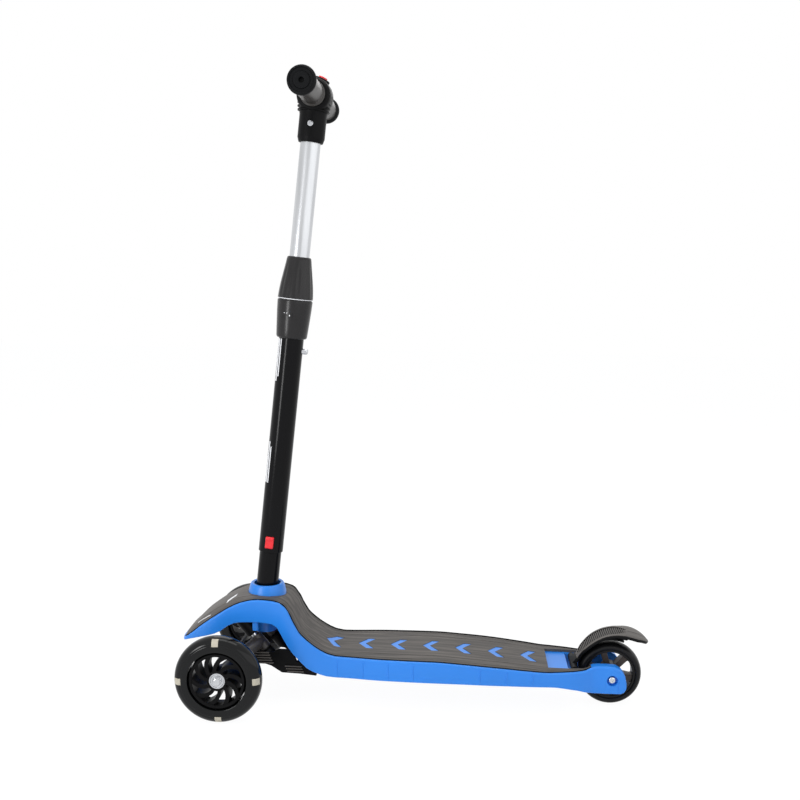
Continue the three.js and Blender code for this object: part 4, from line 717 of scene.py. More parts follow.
INLAY_RELIEF = [(0.93, 0), (0.9, 0), (0.892, 0.6), (0.874, 0.6), (0.866, 0), (0.78, 0), (0.67, 0), (0.66, 0.5),
                (0.64, 0.5), (0.63, 0), (0.45, 0), (0.24, 0), (0.08, 0)]


def inlay_section(x):
    half = half_line(x) - LIP - INLAY_GAP
    top, bottom = top_line(x) - 0.1, seat_at(x) + GAP
    right = [(half, bottom), (half, top - 0.9), (half - 0.4, top - 0.2), (half - 1.1, top + 0.12)]
    right += [(half * share, inlay_height(x, half * share) - drop) for share, drop in INLAY_RELIEF]
    return mirrored(right)


# Deck moulding
WELL_FRONT = 61
WELL = [
    (WELL_FRONT, -32), (WELL_FRONT, 32), (WELL_FRONT - LIP, 32), (40, 26), (22, FORK_INSIDE), (-26, FORK_INSIDE),
    (-26, -FORK_INSIDE), (22, -FORK_INSIDE), (40, -26), (WELL_FRONT - LIP, -32)]
SCREWS = [(x, side * 28) for side in (1, -1) for x in (424.4, 440.4)]
RIB = 2.6
RIB_LOW = 44
CROSS_RIBS = 6
CROSS_RIB_FIRST = 97.2
CROSS_RIB_PITCH = 54
LONG_RIB_Y = 21
LONG_RIB_END = 356.4
RAIL_RIBS = (113, 149.5, 186, 279, 314, 349, 386)
FORK_RIB = -8.5
CAVITY_REAR = 75.6
AXLE_POCKET = 7.6
BRAKE_PIN = (51.5, 55.5)
BRAKE_HALF = 34


def room_inside(start):
    """All the room between the skirts and under the seat of the mat, from the given place forwards."""
    return drawn_out("under_seat", sections(start, NOSE_TIP - LIP, lambda x: box_section(
        half_line(x) - WALL / 2, 0, seat_at(x) - WALL / 2)))


def deck_inside():
    """Ribs, bosses and the stem socket under the plate, cut to the room inside the skirts."""
    parts = []
    for x in (CROSS_RIB_FIRST + CROSS_RIB_PITCH * i for i in range(CROSS_RIBS)):
        parts.append(block("rib", (x, -HALF_DECK, RIB_LOW), (x + RIB, HALF_DECK, ARCH_TOP)))
    for side in (1, -1):
        low, high = side * LONG_RIB_Y - RIB / 2, side * LONG_RIB_Y + RIB / 2
        parts.append(block("long_rib", (CAVITY_REAR - WALL, low, RIB_LOW), (LONG_RIB_END, high, ARCH_TOP)))
        parts.append(standing_rod("cover_peg", 4.5, 506, side * 36.5, 101, ARCH_TOP, 24))
    parts += [standing_rod("screw_boss", 5.5, x, y, 58, ARCH_TOP, 24) for x, y in SCREWS]
    parts.append(along_z("stem_socket", 20.5, -55, 2, STEM, 64))
    under = room_inside(CAVITY_REAR - WALL)
    for part in parts:
        carved(part, copied(under, "limit"), "INTERSECT")
    bpy.data.objects.remove(under)
    return parts


def deck_shell():
    shell = drawn_out("deck_moulding", sections(-FORK_REACH, NOSE_TIP, rail_section))
    carved(shell, drawn_out("seat", sections(MAT_REAR - GAP, NOSE_TIP - LIP, lambda x: box_section(
        half_line(x) - LIP, seat_at(x), top_line(x) + 4))))
    carved(shell, drawn_out("inside", sections(CAVITY_REAR, NOSE_TIP - 24, lambda x: box_section(
        half_line(x) - WALL, bottom_line(x) - 4, ceiling_at(x)))))
    carved(shell, outline_plate("well", WELL, -4, ARCH_TOP, plane="XY"))
    for part in deck_inside():
        carved(shell, part, "UNION")
    carved(shell, along_z("stem_bore", 16, -59, 151, STEM, 64))
    carved(shell, cross_rod("axle_bore", PIN_BORE, 0, REAR_RADIUS, 40))
    carved(shell, cross_rod("brake_bore", SLIM_BORE, *BRAKE_PIN, BRAKE_HALF, 24))
    bolt_ends = [STEM @ Vector((0, side * 0.0245, -0.03)) for side in (-1, 1)]
    carved(shell, rod("post_bolt_bore", POST_BORE, *bolt_ends, 24))
    for side in (1, -1):
        ends = [at(0, side * y, REAR_RADIUS) for y in (30, 40)]
        carved(shell, rod("axle_pocket", AXLE_POCKET, *ends, 48))
    for place in KINGPIN_PLACES:
        carved(shell, along_z("kingpin_room", 9.4, 0, 50, place, 40))
    for x, y in SCREWS:
        carved(shell, standing_rod("screw_bore", SCREW_BORE, x, y, 30, 62.3, 20))
    return neat(shell, 28)


dressed(deck_shell(), blue_moulding, "blue_shell", "deck", "deck_shell")


def kingpin_seat():
    """Black upper seat of a kingpin, standing down from the arch of the nose."""
    seat = turned("kingpin_seat_left", [
        (PIN_BORE, 16), (7.6, 16), (9, 17.4), (9, 49.7), (PIN_BORE, 49.7)], 48, KINGPIN_PLACE)
    return neat(carved(seat, room_inside(CAVITY_REAR), "INTERSECT"))


both_sides(kingpin_seat(), black_nylon, "black_plastic", "deck", "")


def rail_ribs():
    ribs = []
    for x in RAIL_RIBS:
        for side in (1, -1):
            y = side * (half_line(x) + 0.05)
            low, high = bottom_line(x) + 3.5, top_line(x) - 3.5
            ribs.append(block("rail_rib", (x - 0.9, y - 0.6, low), (x + 0.9, y + 0.6, high), round_by=0.4))
    for side in (1, -1):
        y = side * (half_line(FORK_RIB) + 0.05)
        ribs.append(block("fork_rib", (FORK_RIB - 0.4, y - 0.5, 28), (FORK_RIB + 0.4, y + 0.5, 50), round_by=0.3))
    return joined("rail_ribs", ribs)


dressed(rail_ribs(), blue_moulding, "blue_shell", "deck")

RING_X = 496
RING_BASE = 27.2


def collar_bore():
    return standing_rod("collar_bore", RING_BASE + GAP, RING_X, 0, 0, 170, 96)


ARROWS = 7
ARROW_FIRST = 118.8
ARROW_PITCH = 46.8
ARROW = [(-15, -19), (-4, -19), (9, 0), (-4, 19), (-15, 19), (-2, 0)]
CUT_LOW = 40
CUT_HIGH = 160
WINDOW = [(90, -36), (90, 36), (61, 36), (40, 33.5), (26, 26.8), (26, -26.8), (40, -33.5), (61, -36)]


def arrow_row():
    plates = []
    for i in range(ARROWS):
        outline = [(ARROW_FIRST + ARROW_PITCH * i + x, y) for x, y in ARROW]
        plates.append(outline_plate("arrow", outline, CUT_LOW, CUT_HIGH, plane="XY"))
    return joined("arrow_row", plates)


def deck_mat():
    mat = drawn_out("deck_mat_cut", sections(MAT_REAR, MAT_FRONT - GAP, inlay_section))
    carved(mat, outline_plate("window", WINDOW, CUT_LOW, CUT_HIGH, plane="XY"))
    carved(mat, collar_bore())
    carved(mat, arrow_row())
    return neat(mat, 30)


def arrow_inlays():
    """Blue pads that fill the arrow openings of the mat almost flush."""
    pads = drawn_out("arrow_inlays", sections(ARROW_FIRST - 20, ARROW_FIRST + ARROW_PITCH * ARROWS, lambda x: [
        (-30, seat_at(x) + GAP), (30, seat_at(x) + GAP), (30, top_line(x) + 0.7), (-30, top_line(x) + 0.7)]))
    return neat(carved(pads, arrow_row(), "INTERSECT"))


def mat_edge_shade():
    """Painted shade: a black strip along the mat's edge, between the mat and the blue rail, standing in for the
    shadowed gap and the mat's side wall.
    """

    def section(x):
        outer, inner = half_line(x) - LIP - 0.1, half_line(x) - LIP - 1.4
        low, side, top = seat_at(x) + GAP, top_line(x) + 0.9 * steepness(x), top_line(x) + 1.25 * steepness(x)
        return [(inner, low), (outer, low), (outer, side), (outer - 0.3, top), (inner + 0.3, top), (inner, side)]
    return smooth(drawn_out("mat_welt_left", sections(MAT_REAR + 0.4, NOSE_TIP - LIP - 1, section)), 50)


dressed(deck_mat(), mat_rubber, "mat_rubber", "deck", "deck_mat")
dressed(arrow_inlays(), blue_moulding, "blue_shell", "deck")
both_sides(mat_edge_shade(), black_nylon, "mat_rubber", "deck", "")


def nose_plate():
    plate = drawn_out("nose_plate", sections(MAT_FRONT, NOSE_TIP - LIP - 0.9, inlay_section))
    carved(plate, collar_bore())
    return neat(plate, 30)


dressed(nose_plate(), cover_plastic, "cover_plastic", "deck", "nose_cover")


def stem_ring():
    ring = turned("stem_ring", [
        (18.8, -12), (RING_BASE, -12), (RING_BASE, 0.5), (26.4, 4), (24.8, 10), (23.6, 12.8), (22.4, 13.6),
        (20.2, 13.6), (19.2, 13), (18.8, 11.8)], 128, Matrix.Translation(at(RING_X, 0, ARCH_TOP)))
    below = drawn_out("below", sections(440, 560, lambda x: box_section(half_line(x), 0, seat_at(x) + GAP)))
    carved(ring, below)
    return neat(ring, 40)


dressed(stem_ring(), blue_moulding, "blue_shell", "deck", "stem_collar")


def nose_mark(name, start, end, y_at, half):
    """A thin printed stroke that follows the nose plate."""
    rings = []
    for i in range(13):
        x = mix(start, end, i / 12)
        row = [(y_at(x) + half * share, inlay_height(x, y_at(x) + half * share)) for share in (-1, -0.3, 0.3, 1)]
        rings.append([at(x, y, z + 0.12) for y, z in row] + [at(x, y, z - 0.2) for y, z in reversed(row)])
    return smooth(drawn_out(name, rings))


for mark in (nose_mark("nose_stroke_wide", 538, 549, lambda x: 12 + (x - 538) * 1.4, 5),
             nose_mark("nose_stroke_thin", 570, 590, lambda x: 39.5 - (x - 570) * 0.3, 0.8)):
    dressed(mark, print_white, "silver_tube", "deck")


# Front wheels: smoked tyre with four lamps, bladed hub, ball bearings and a capped nut
TYRE_SIDE = [(41, 12.5), (43, 12.9), (46, 13), (49.3, 12.8), (50.2, 12.45), (51, 12.6), (53, 12), (55.5, 10.5),
             (57.6, 8.4), (59, 5.7), (59.75, 2.9), (FRONT_RADIUS, 0)]
LAMP_LOW = 49
LAMP_HIGH = 58.2
LAMP_HALF = 4.5
LAMP_TURN = math.radians(2)
CARRIER = (38.3, 40.3, 10)
FRONT_RIM = (34, 38, 11)
HUB_CORE = 14
CORE_HALF = 10
BEARING_SEAT = 11.3
BLADES = 10
BLADE_BEND = math.radians(32)
BLADE_TURN = math.radians(4)
ACROSS_TRACK = Matrix.Translation((0, -2 * HALF_TRACK * MM, 0))


def mirrored_profile(side, bore, edge):
    """A closed outline from half of it: down one flank, over the crown and up the other."""
    low = [(r, -h) for r, h in side]
    high = [(r, h) for r, h in reversed(side[:-1])]
    return [(bore, -edge)] + low + high + [(bore, edge)]


def lamp_boxes(name, extra):
    boxes = []
    for i in range(4):
        turn = Matrix.Rotation(LAMP_TURN + i * math.pi / 2, 4, "Z")
        low = (LAMP_LOW - extra, -LAMP_HALF - extra, -14)
        high = (LAMP_HIGH + extra, LAMP_HALF + extra, 14)
        boxes.append(block(name, low, high, place=turn))
    return joined(name, boxes)


def front_tyre():
    whole = turned("tyre_left_cast", mirrored_profile(eased(TYRE_SIDE), 40.6, 12.1), 144)
    lamps = carved(copied(whole, "lamps_left"), lamp_boxes("lamp_room", 0), "INTERSECT")
    softened(lamps, 0.35, 2, 50)
    carved(whole, lamp_boxes("lamp_room", 0.15))
    return [neat(piece) for piece in (whole, lamps)]


def blade(turn):
    """One curved fan blade between the core and the rim, swept back as it goes out."""
    inner, outer, thick = HUB_CORE - 1, FRONT_RIM[0] + 0.8, 4.6
    left, right = [], []
    for k in range(9):
        share = k / 8
        r = mix(inner, outer, share)
        angle = turn - BLADE_BEND * share ** 1.3
        off = thick * (1 + 0.9 * share) / 2 / r
        left.append((r * math.cos(angle + off), r * math.sin(angle + off)))
        right.insert(0, (r * math.cos(angle - off), r * math.sin(angle - off)))
    return outline_plate("blade", left + right, -9.4, 9.4, plane="XY", place=LOCAL)


def core_ring():
    half, seat = CORE_HALF, BEARING_SEAT
    return turned("core", [
        (seat, -half), (HUB_CORE - 0.8, -half), (HUB_CORE, 0.8 - half), (HUB_CORE, half - 0.8),
        (HUB_CORE - 0.8, half), (seat, half), (seat, 1.7), (9, 1.7), (9, -1.7), (seat, -1.7)], 96)


def rim_ring(inner, outer, half):
    return turned("rim", [
        (inner, -half + 0.9), (inner + 0.9, -half), (outer - 0.5, -half), (outer, 0.5 - half), (outer, half - 0.5),
        (outer - 0.5, half), (inner + 0.9, half), (inner, half - 0.9)], 128)


def front_hub():
    rings = joined("fan_hub_left", [rim_ring(*FRONT_RIM), core_ring()])
    fan = joined("fan", [blade(-BLADE_TURN - i * 2 * math.pi / BLADES) for i in range(BLADES)])
    return neat(carved(rings, fan, "UNION"), 30)


def bearing(name, place=LOCAL):
    """A shielded ball bearing: outer race, sunk shield, inner race."""
    return turned(name, [
        (PIN_BORE, 2), (10.7, 2), (11, 2.3), (11, 8.7), (10.7, 9), (9.3, 9), (9, 8.7), (9, 8.2), (8.7, 8), (6.7, 8),
        (6.4, 8.2), (6.4, 8.7), (6.1, 9), (4.6, 9), (PIN_BORE, 8.7)], 80, place)


def cap_nut():
    """Domed cap nut with a washer face and six flats."""
    nut = turned("cap_nut_left", [
        (PIN_BORE, 9.3), (6.3, 9.3), (6.5, 9.5), (6.5, 10.1), (6.3, 10.3), (5.2, 10.3), (5.2, 11.7), (4.9, 12.3),
        (4.1, 12.75), (2.6, 13), (0, 13), (0, 10.9), (PIN_BORE, 10.9)], 64)
    flats = turned("flats", [(PIN_BORE, 10.2), (6.2, 10.2), (6.2, 11.5), (5.9, 11.8), (PIN_BORE, 11.8)], 6)
    return smooth(carved(nut, flats, "UNION"))


def axle_bolt():
    return turned("wheel_bolt_left", [
        (0, -33.3), (5.4, -33.3), (6, -32.7), (6, -29.3), (4, -29.3), (4, 10.2), (3.6, 10.6), (0, 10.6)], 64)


def front_wheels():
    tyre, lamps = front_tyre()
    bore, outside, half = CARRIER
    flank = [(bore + 0.2, half), (outside, 9.8)]
    carrier = turned("lamp_carrier_left", mirrored_profile(flank, bore, 9.8), 96)
    hub = front_hub()
    outer = bearing("race_left_outer")
    inner = bearing("race_left_inner", Matrix.Rotation(math.pi, 4, "X"))
    for piece, paint, slot, node in (
            (tyre, smoke_cast, "front_tyre", "front_tyre_{}"), (lamps, lamp_beige, "lamp_plastic", "lamp_ring_{}"),
            (carrier, black_nylon, "lamp_plastic", ""), (hub, black_nylon, "black_plastic", "front_hub_{}")):
        moved(piece, FRONT_WHEEL)
        both_sides(piece, paint, slot, "front_wheel_{}", node, ACROSS_TRACK)
    for piece, body, node in (
            (outer, "front_wheel_{}", "bearing_outer_{}"), (inner, "front_wheel_{}", "bearing_inner_{}"),
            (axle_bolt(), "knuckle_{}", "axle_bolt_{}"), (cap_nut(), "knuckle_{}", "axle_cap_{}")):
        moved(piece, FRONT_WHEEL)
        both_sides(piece, zinc_steel, "steel", body, node)


front_wheels()


# Knuckles, kingpins and the tie rod
KNUCKLE_LIFT = 0.5
ARM_HALF = 8.5
ARM_SHARES = [(0, 0, 0, 0.82, 0.88), (0.194, 0.053, 0, 0.88, 0.88), (0.419, 0.263, 0.14, 0.94, 0.88),
              (0.677, 0.553, 0.465, 0.94, 0.94), (0.871, 0.842, 0.8, 1, 1), (1, 1, 1, 1, 1)]
TRACK_ARM = 29


def rounded_square(centre_x, centre_z, half_x, half_z, y, corners=24):
    row = []
    for k in range(corners):
        a = 2 * math.pi * k / corners
        x = math.copysign(abs(math.cos(a)) ** 0.6, math.cos(a))
        z = math.copysign(abs(math.sin(a)) ** 0.6, math.sin(a))
        row.append(at(centre_x + half_x * x, y, centre_z + half_z * z))
    return row


def knuckle_arm():
    rings = []
    for across, ahead, down, wide, high in eased(ARM_SHARES, 5):
        x = mix(KINGPIN[0], WHEEL_BASE - 2, ahead)
        y = mix(KINGPIN[1] - 2, 92, across)
        z = mix(KINGPIN[2], FRONT_RADIUS, down) + KNUCKLE_LIFT
        rings.append(rounded_square(x, z, ARM_HALF * wide, ARM_HALF * high, y))
    return drawn_out("knuckle_left_cast", rings)


def knuckle():
    body = knuckle_arm()
    barrel = turned("barrel", [(0, -12), (8.2, -12), (9, -11.2), (9, 11.2), (8.2, 12), (0, 12)], 64, KINGPIN_PLACE)
    boss = turned("boss", [
        (0, -29), (9.2, -29), (10, -28.2), (10, -18), (9.2, -16.6), (6.6, -14.2), (6, -13.4), (6, -9.3), (0, -9.3)],
        64, FRONT_WHEEL)
    arm = block("track_arm", (0, -4, 5.5), (33, 4, 10.5), 0.9, KINGPIN_PLACE)
    pin = turned("track_pin", [(0, 5.6), (2.5, 5.6), (2.5, 16.5), (2, 17), (0, 17)], 32,
                 KINGPIN_PLACE @ Matrix.Translation((TRACK_ARM * MM, 0, 0)))
    for part in (barrel, boss, arm, pin):
        carved(body, part, "UNION")
    carved(body, along_z("kingpin_bore", PIN_BORE, -24, 24, KINGPIN_PLACE, 40))
    carved(body, along_z("axle_bore", PIN_BORE, -37, -5, FRONT_WHEEL, 40))
    carved(body, along_z("head_room", 6.3, -60, -29, FRONT_WHEEL, 40))
    return neat(body, 34)


both_sides(knuckle(), grey_nylon, "grey_plastic", "knuckle_{}", "knuckle_{}")
kingpin_rod = turned("kingpin_left_rod", [(0, -30), (3.6, -30), (4, -29.6), (4, 33.6), (3.6, 34), (0, 34)], 40,
                     KINGPIN_PLACE)
both_sides(kingpin_rod, zinc_steel, "steel", "deck", "kingpin_{}")
steer_rubber = turned("rubber_left_ring", [
    (4.6, -15.3), (8.3, -15.3), (8.7, -15), (8.7, -14.3), (8.1, -13.8), (8.7, -13.3), (8.7, -12.6), (8.3, -12.3),
    (4.6, -12.3)], 64, KINGPIN_PLACE)
both_sides(steer_rubber, black_nylon, "black_rubber", "deck", "steer_rubber_{}")


def tie_rod():
    places = [place @ Matrix.Translation((TRACK_ARM * MM, 0, 0)) for place in KINGPIN_PLACES]
    ends = [place @ Vector((0, 0, 13.3 * MM)) for place in places]
    body = rod("tie_rod_bar", 2.4, ends[1], ends[0], 32)
    eye = [(0, 10.8), (6, 10.8), (6.5, 11.3), (6.5, 15.3), (6, 15.8), (0, 15.8)]
    for place in places:
        carved(body, turned("eye", eye, 48, place), "UNION")
    for place in places:
        carved(body, along_z("eye_bore", SLIM_BORE, 8, 20, place, 32))
    return neat(body)


dressed(tie_rod(), grey_nylon, "grey_plastic", "tie_rod", "tie_rod")


# Steering bracket under the nose, with its finned cheeks and four screws
CHEEK = [
    (513, 53), (491, 53), (482.4, 50.5), (467.1, 41), (441.3, 40.1), (417.4, 38), (417.4, 57.7), (446, 57.7),
    (450.9, 71), (457.6, 74.5), (471.9, 74.5), (478.6, 71), (513, 71)]
CHEEK_INNER = 36
CHEEK_OUTER = 42
FINS = [(479, 505, 54.4, 5), (435.4, 459.4, 43, 3)]
FIN = 1.6
FIN_PITCH = 3.7


def steering_bracket():
    body = outline_plate("steering_bracket_body", CHEEK, CHEEK_INNER, CHEEK_OUTER, round_by=0.8)
    carved(body, outline_plate("cheek", CHEEK, -CHEEK_OUTER, -CHEEK_INNER, round_by=0.8), "UNION")
    carved(body, block("foot", (417.4, -41.9, 41), (446, 41.9, 57.7), 0.8), "UNION")
    carved(body, block("bar", (501, -41.9, 53), (513, 41.9, 60), 0.8), "UNION")
    for place in KINGPIN_PLACES:
        seat = along_z("seat", 9, -40, -15.6, place, 48)
        carved(seat, block("under_seat", (400, -80, 0), (600, 80, 53)))
        carved(body, seat, "UNION")
    for place in KINGPIN_PLACES:
        carved(body, along_z("pin_bore", PIN_BORE, -30.3, 0, place, 32))
        carved(body, along_z("swing_room", 10.2, -15.6, 48, place, 48))
    for x, y in SCREWS:
        carved(body, standing_rod("screw_bore", SCREW_BORE, x, y, 34, 62, 24))
        carved(body, standing_rod("head_room", 4.1, x, y, 34, 43.6))
    return neat(body, 34)


def cheek_fins():
    fins = []
    for start, end, low, count in FINS:
        for i in range(count):
            z = low + i * FIN_PITCH
            for side in (1, -1):
                near, far = sorted((side * (CHEEK_OUTER - 0.6), side * (CHEEK_OUTER + 2)))
                shift = 1.6 * i
                fins.append(block("fin", (start + shift, near, z), (end + shift, far, z + FIN), 0.45))
    return joined("cheek_fins", fins)


dressed(steering_bracket(), black_nylon, "black_plastic", "deck", "steering_bracket")
dressed(cheek_fins(), cover_plastic, "black_plastic", "deck")
for i, (x, y) in enumerate(SCREWS):
    screw = turned(f"bracket_screw_{i + 1}_cut", [
        (0, 42.4), (1.1, 42.4), (1.1, 41.3), (3.3, 41.3), (3.8, 41.9), (3.8, 43.3), (2, 43.3), (2, 61.4), (1.4, 62),
        (0, 62)], 40, DRAWING @ Matrix.Translation((x * MM, y * MM, 0)))
    dressed(screw, zinc_steel, "steel", "deck", f"bracket_screw_{i + 1}")


# Rear wheel, its axle and the brake fender
REAR_TYRE_SIDE = [(36.4, 12.1), (37.6, 12.8), (39.2, 13), (41, 12.4), (42.8, 10.4), (44.1, 7.2), (44.8, 3.8),
                  (REAR_RADIUS, 0)]
REAR_RIM = (32, 35.6, 11)
DARK_RIM = 31.6
SPOKES = 6
SPOKE_TURN = math.radians(13)


def repainted(piece, paint, chosen):
    """Gives the chosen faces of a dressed piece a second finish."""
    piece.data.materials.append(paint)
    for face in piece.data.polygons:
        if chosen(face):
            face.material_index = 1


def rear_hub():
    rings = joined("rear_hub_cast", [rim_ring(*REAR_RIM), core_ring()])
    spoke = [(13, -4.6), (16, -4), (29, -4.2), (33, -6), (33, 6), (29, 4.2), (16, 4), (13, 4.6)]
    plates = []
    for i in range(SPOKES):
        turn = Matrix.Rotation(-SPOKE_TURN - i * 2 * math.pi / SPOKES, 4, "Z")
        plates.append(outline_plate("spoke", spoke, -8, 8, plane="XY", round_by=0.6, place=turn))
    return neat(carved(rings, joined("spokes", plates), "UNION"), 30)


def hex_nut(name, radius, bore, low, high, place):
    nut = turned(name, [(bore, low), (radius - 0.4, low), (radius, low + 0.5), (radius, high - 0.5),
                        (radius - 0.4, high), (bore, high)], 6)
    carved(nut, turned("bore", [(0, low - 1), (bore, low - 1), (bore, high + 1), (0, high + 1)], 32))
    return smooth(moved(nut, place), 20)


rear_tyre = turned("rear_tyre_cast", mirrored_profile(eased(REAR_TYRE_SIDE), 35.9, 11.6), 144, REAR_WHEEL)
dressed(rear_tyre, tread_black, "rear_tyre", "rear_wheel", "rear_tyre")
spoked = dressed(moved(rear_hub(), REAR_WHEEL), spoke_grey, "black_plastic", "rear_wheel", "rear_hub")
axle_line = at(0, 0, REAR_RADIUS)
repainted(spoked, tread_black, lambda face: math.hypot(
    face.center.x - axle_line.x, face.center.z - axle_line.z) > DARK_RIM * MM)
for side, place in (("left", REAR_WHEEL), ("right", TO_THE_RIGHT @ REAR_WHEEL)):
    race = bearing(f"rear_bearing_{side}_race", place)
    dressed(race, zinc_steel, "steel", "rear_wheel", f"rear_bearing_{side}")
    spacer = turned(f"rear_spacer_{side}_turned",
                    [(PIN_BORE, 9.3), (5.7, 9.3), (6, 9.6), (6, 23.4), (5.7, 23.7), (PIN_BORE, 23.7)], 48, place)
    dressed(spacer, zinc_steel, "steel", "deck", f"rear_spacer_{side}")
rear_bolt = turned("rear_axle_bolt_turned", [
    (0, -35.5), (3.6, -35.5), (4, -35.1), (4, 30.3), (5, 30.3), (5, 32.6), (4.7, 33.8), (3.8, 34.6), (2.4, 34.9),
    (2, 34.7), (2, 33), (0, 33)], 64, REAR_WHEEL)
dressed(rear_bolt, zinc_steel, "steel", "deck", "rear_axle_bolt")
rear_nut = hex_nut("rear_axle_nut_turned", 6.4, 4.6, -35.5, -30.3, REAR_WHEEL)
dressed(rear_nut, zinc_steel, "steel", "deck", "rear_axle_nut")

FENDER_HALF = 21
FENDER_THICK = 3.2
FENDER_CAMBER = 1.5
FENDER_SHARES = [
    (1.144, 0.356, 0.57), (1.05, 0.512, 0.57), (0.965, 0.676, 0.7), (0.867, 0.809, 0.81), (0.74, 0.947, 0.92),
    (0.597, 1.077, 0.98), (0.413, 1.2, 1), (0.205, 1.296, 1.01), (0, 1.347, 1.03), (-0.192, 1.369, 1.06),
    (-0.392, 1.368, 1.12), (-0.575, 1.345, 1.23), (-0.752, 1.302, 1.25), (-0.938, 1.24, 1.05),
    (-1.088, 1.157, 0.76), (-1.152, 1.108, 0.54), (-1.188, 1.072, 0.28)]
FENDER_LAST = len(FENDER_SHARES) - 1
fender_x = line_through([(i, x * REAR_RADIUS) for i, (x, _, _) in enumerate(FENDER_SHARES)])
fender_z = line_through([(i, REAR_RADIUS * (1 + z)) for i, (_, z, _) in enumerate(FENDER_SHARES)])
fender_half = line_through([(i, half * FENDER_HALF) for i, (_, _, half) in enumerate(FENDER_SHARES)])
PANEL_START = 1.2
PANEL_END = 10.7
PANEL_DEPTH = 1.7
PANEL_SHARE = 0.64
PANEL_RIB_PITCH = 2.8
PAD_INNER = 50.2
PAD_OUTER = 52.8
PAD_START = 74.5
PAD_SWEEP = 36
SHADED_SIDE_FACING = 0.36
SHADED_UNDER_FACING = -0.2


def fender_frame(u):
    """Place on the fender's top line: X along it to the rear, Y across, Z out of its surface."""
    before, after = max(u - 0.05, 0), min(u + 0.05, FENDER_LAST)
    along = Vector((fender_x(after) - fender_x(before), 0, fender_z(after) - fender_z(before))).normalized()
    out = Vector((along.z, 0, -along.x))
    turn = Matrix((along, Vector((0, 1, 0)), out)).transposed().to_4x4()
    return Matrix.Translation(at(fender_x(u), 0, fender_z(u))) @ turn


def panel_reach(u):
    """How far the sunk panel is open here: nothing at its two pointed ends, one along its middle."""
    return max(0, min(1, (u - PANEL_START) / 1.2, (PANEL_END - u) / 2))


def panel_half(u):
    return 0.4 + (PANEL_SHARE * fender_half(u) - 0.4) * math.sqrt(panel_reach(u))


def fender_hood():
    rings = []
    steps = 110
    for i in range(steps + 1):
        u = FENDER_LAST * i / steps
        half, drop, under = fender_half(u), FENDER_CAMBER, FENDER_THICK
        panel, sink = panel_half(u), PANEL_DEPTH * min(1, 4 * panel_reach(u))
        e = min(1, half / 14)
        right = [
            (half * 0.45, -under), (half - 1.2 * e, -drop - under), (half - 0.3 * e, -drop - under + 0.7),
            (half, -drop - under + 1.4), (half, -drop - 0.9), (half - 0.5 * e, -drop - 0.1),
            (half - 2.0 * e, -drop * 0.5), (mix(panel, half, 0.55), -drop * 0.3), (panel + 0.5, -drop * 0.12),
            (panel, -drop * 0.12 - sink), (panel * 0.6, -sink), (panel * 0.2, -sink)]
        frame_here = fender_frame(u)
        rings.append([frame_here @ Vector((0, y * MM, z * MM)) for y, z in mirrored(right)])
    return smooth(drawn_out("fender_hood", rings), 40)


def panel_shade_floor():
    """Painted shade: a black floor laid in the sunk panel under its ribs, darker than the fender's own plastic."""
    rings = []
    steps = 80
    for i in range(steps + 1):
        u = mix(PANEL_START + 0.25, PANEL_END - 0.4, i / steps)
        half, low = panel_half(u) - 0.25, -PANEL_DEPTH - 0.3
        here = fender_frame(u)
        corners = [(-half, low), (half, low), (half, 0.12 - PANEL_DEPTH), (-half, 0.12 - PANEL_DEPTH)]
        rings.append([here @ Vector((0, y * MM, z * MM)) for y, z in corners])
    return smooth(drawn_out("fender_panel_shade", rings), 40)


def fender_ribs():
    """Cross ribs on the sunk panel, shorter towards its two ends."""
    ribs = []
    u = PANEL_START + 0.15
    while u < PANEL_END - 0.2:
        half = panel_half(u) - 0.5
        if half > 1:
            ribs.append(block("rib", (-0.6, -half, -PANEL_DEPTH - 0.5), (0.6, half, -0.45), 0.3, fender_frame(u)))
        here = at(fender_x(u), 0, fender_z(u))
        while (at(fender_x(u), 0, fender_z(u)) - here).length < PANEL_RIB_PITCH * MM:
            u += 0.02
    return joined("fender_ribs", ribs)


FENDER_ROOT_SHARES = [(1.042, 0.467), (1.087, 0.493), (1.191, 0.344), (1.244, 0.278), (1.178, 0.133),
                      (1.053, 0.178), (1.036, 0.244), (1.031, 0.378)]
FENDER_WEB_SHARES = [(0.267, 1.2), (0.089, 1.267), (-0.222, 1.329), (-0.533, 1.32), (-0.711, 1.258),
                     (-0.489, 1.111), (-0.178, 1.164), (0.133, 1.151)]


def over_rear_wheel(shares):
    return [(x * REAR_RADIUS, REAR_RADIUS * (1 + z)) for x, z in shares]


def fender_root():
    """Hinge barrel and the two webs that hold the brake pad."""
    body = cross_rod("fender_root", 5, *BRAKE_PIN, 27, 48, 0.6)
    carved(body, outline_plate("root", over_rear_wheel(FENDER_ROOT_SHARES), -12, 12, round_by=0.5), "UNION")
    carved(body, cross_rod("bore", SLIM_BORE, *BRAKE_PIN, BRAKE_HALF))
    webs = []
    for side in (1, -1):
        low, high = sorted((side * 8, side * 10))
        web = outline_plate("web", over_rear_wheel(FENDER_WEB_SHARES), low, high)
        webs.append(carved(web, cross_rod("pad_room", 53.7, 0, REAR_RADIUS, 30, 96)))
    return neat(joined("fender_root", [body] + webs), 34)


def brake_pad():
    pad = []
    for radius, order in ((PAD_INNER, 1), (PAD_OUTER, -1)):
        turns = [math.radians(PAD_START + PAD_SWEEP * i / 16) for i in range(17)][::order]
        pad += [(radius * math.cos(a), REAR_RADIUS + radius * math.sin(a)) for a in turns]
    return outline_plate("brake_pad_cut", pad, -12, 12, round_by=0.5)


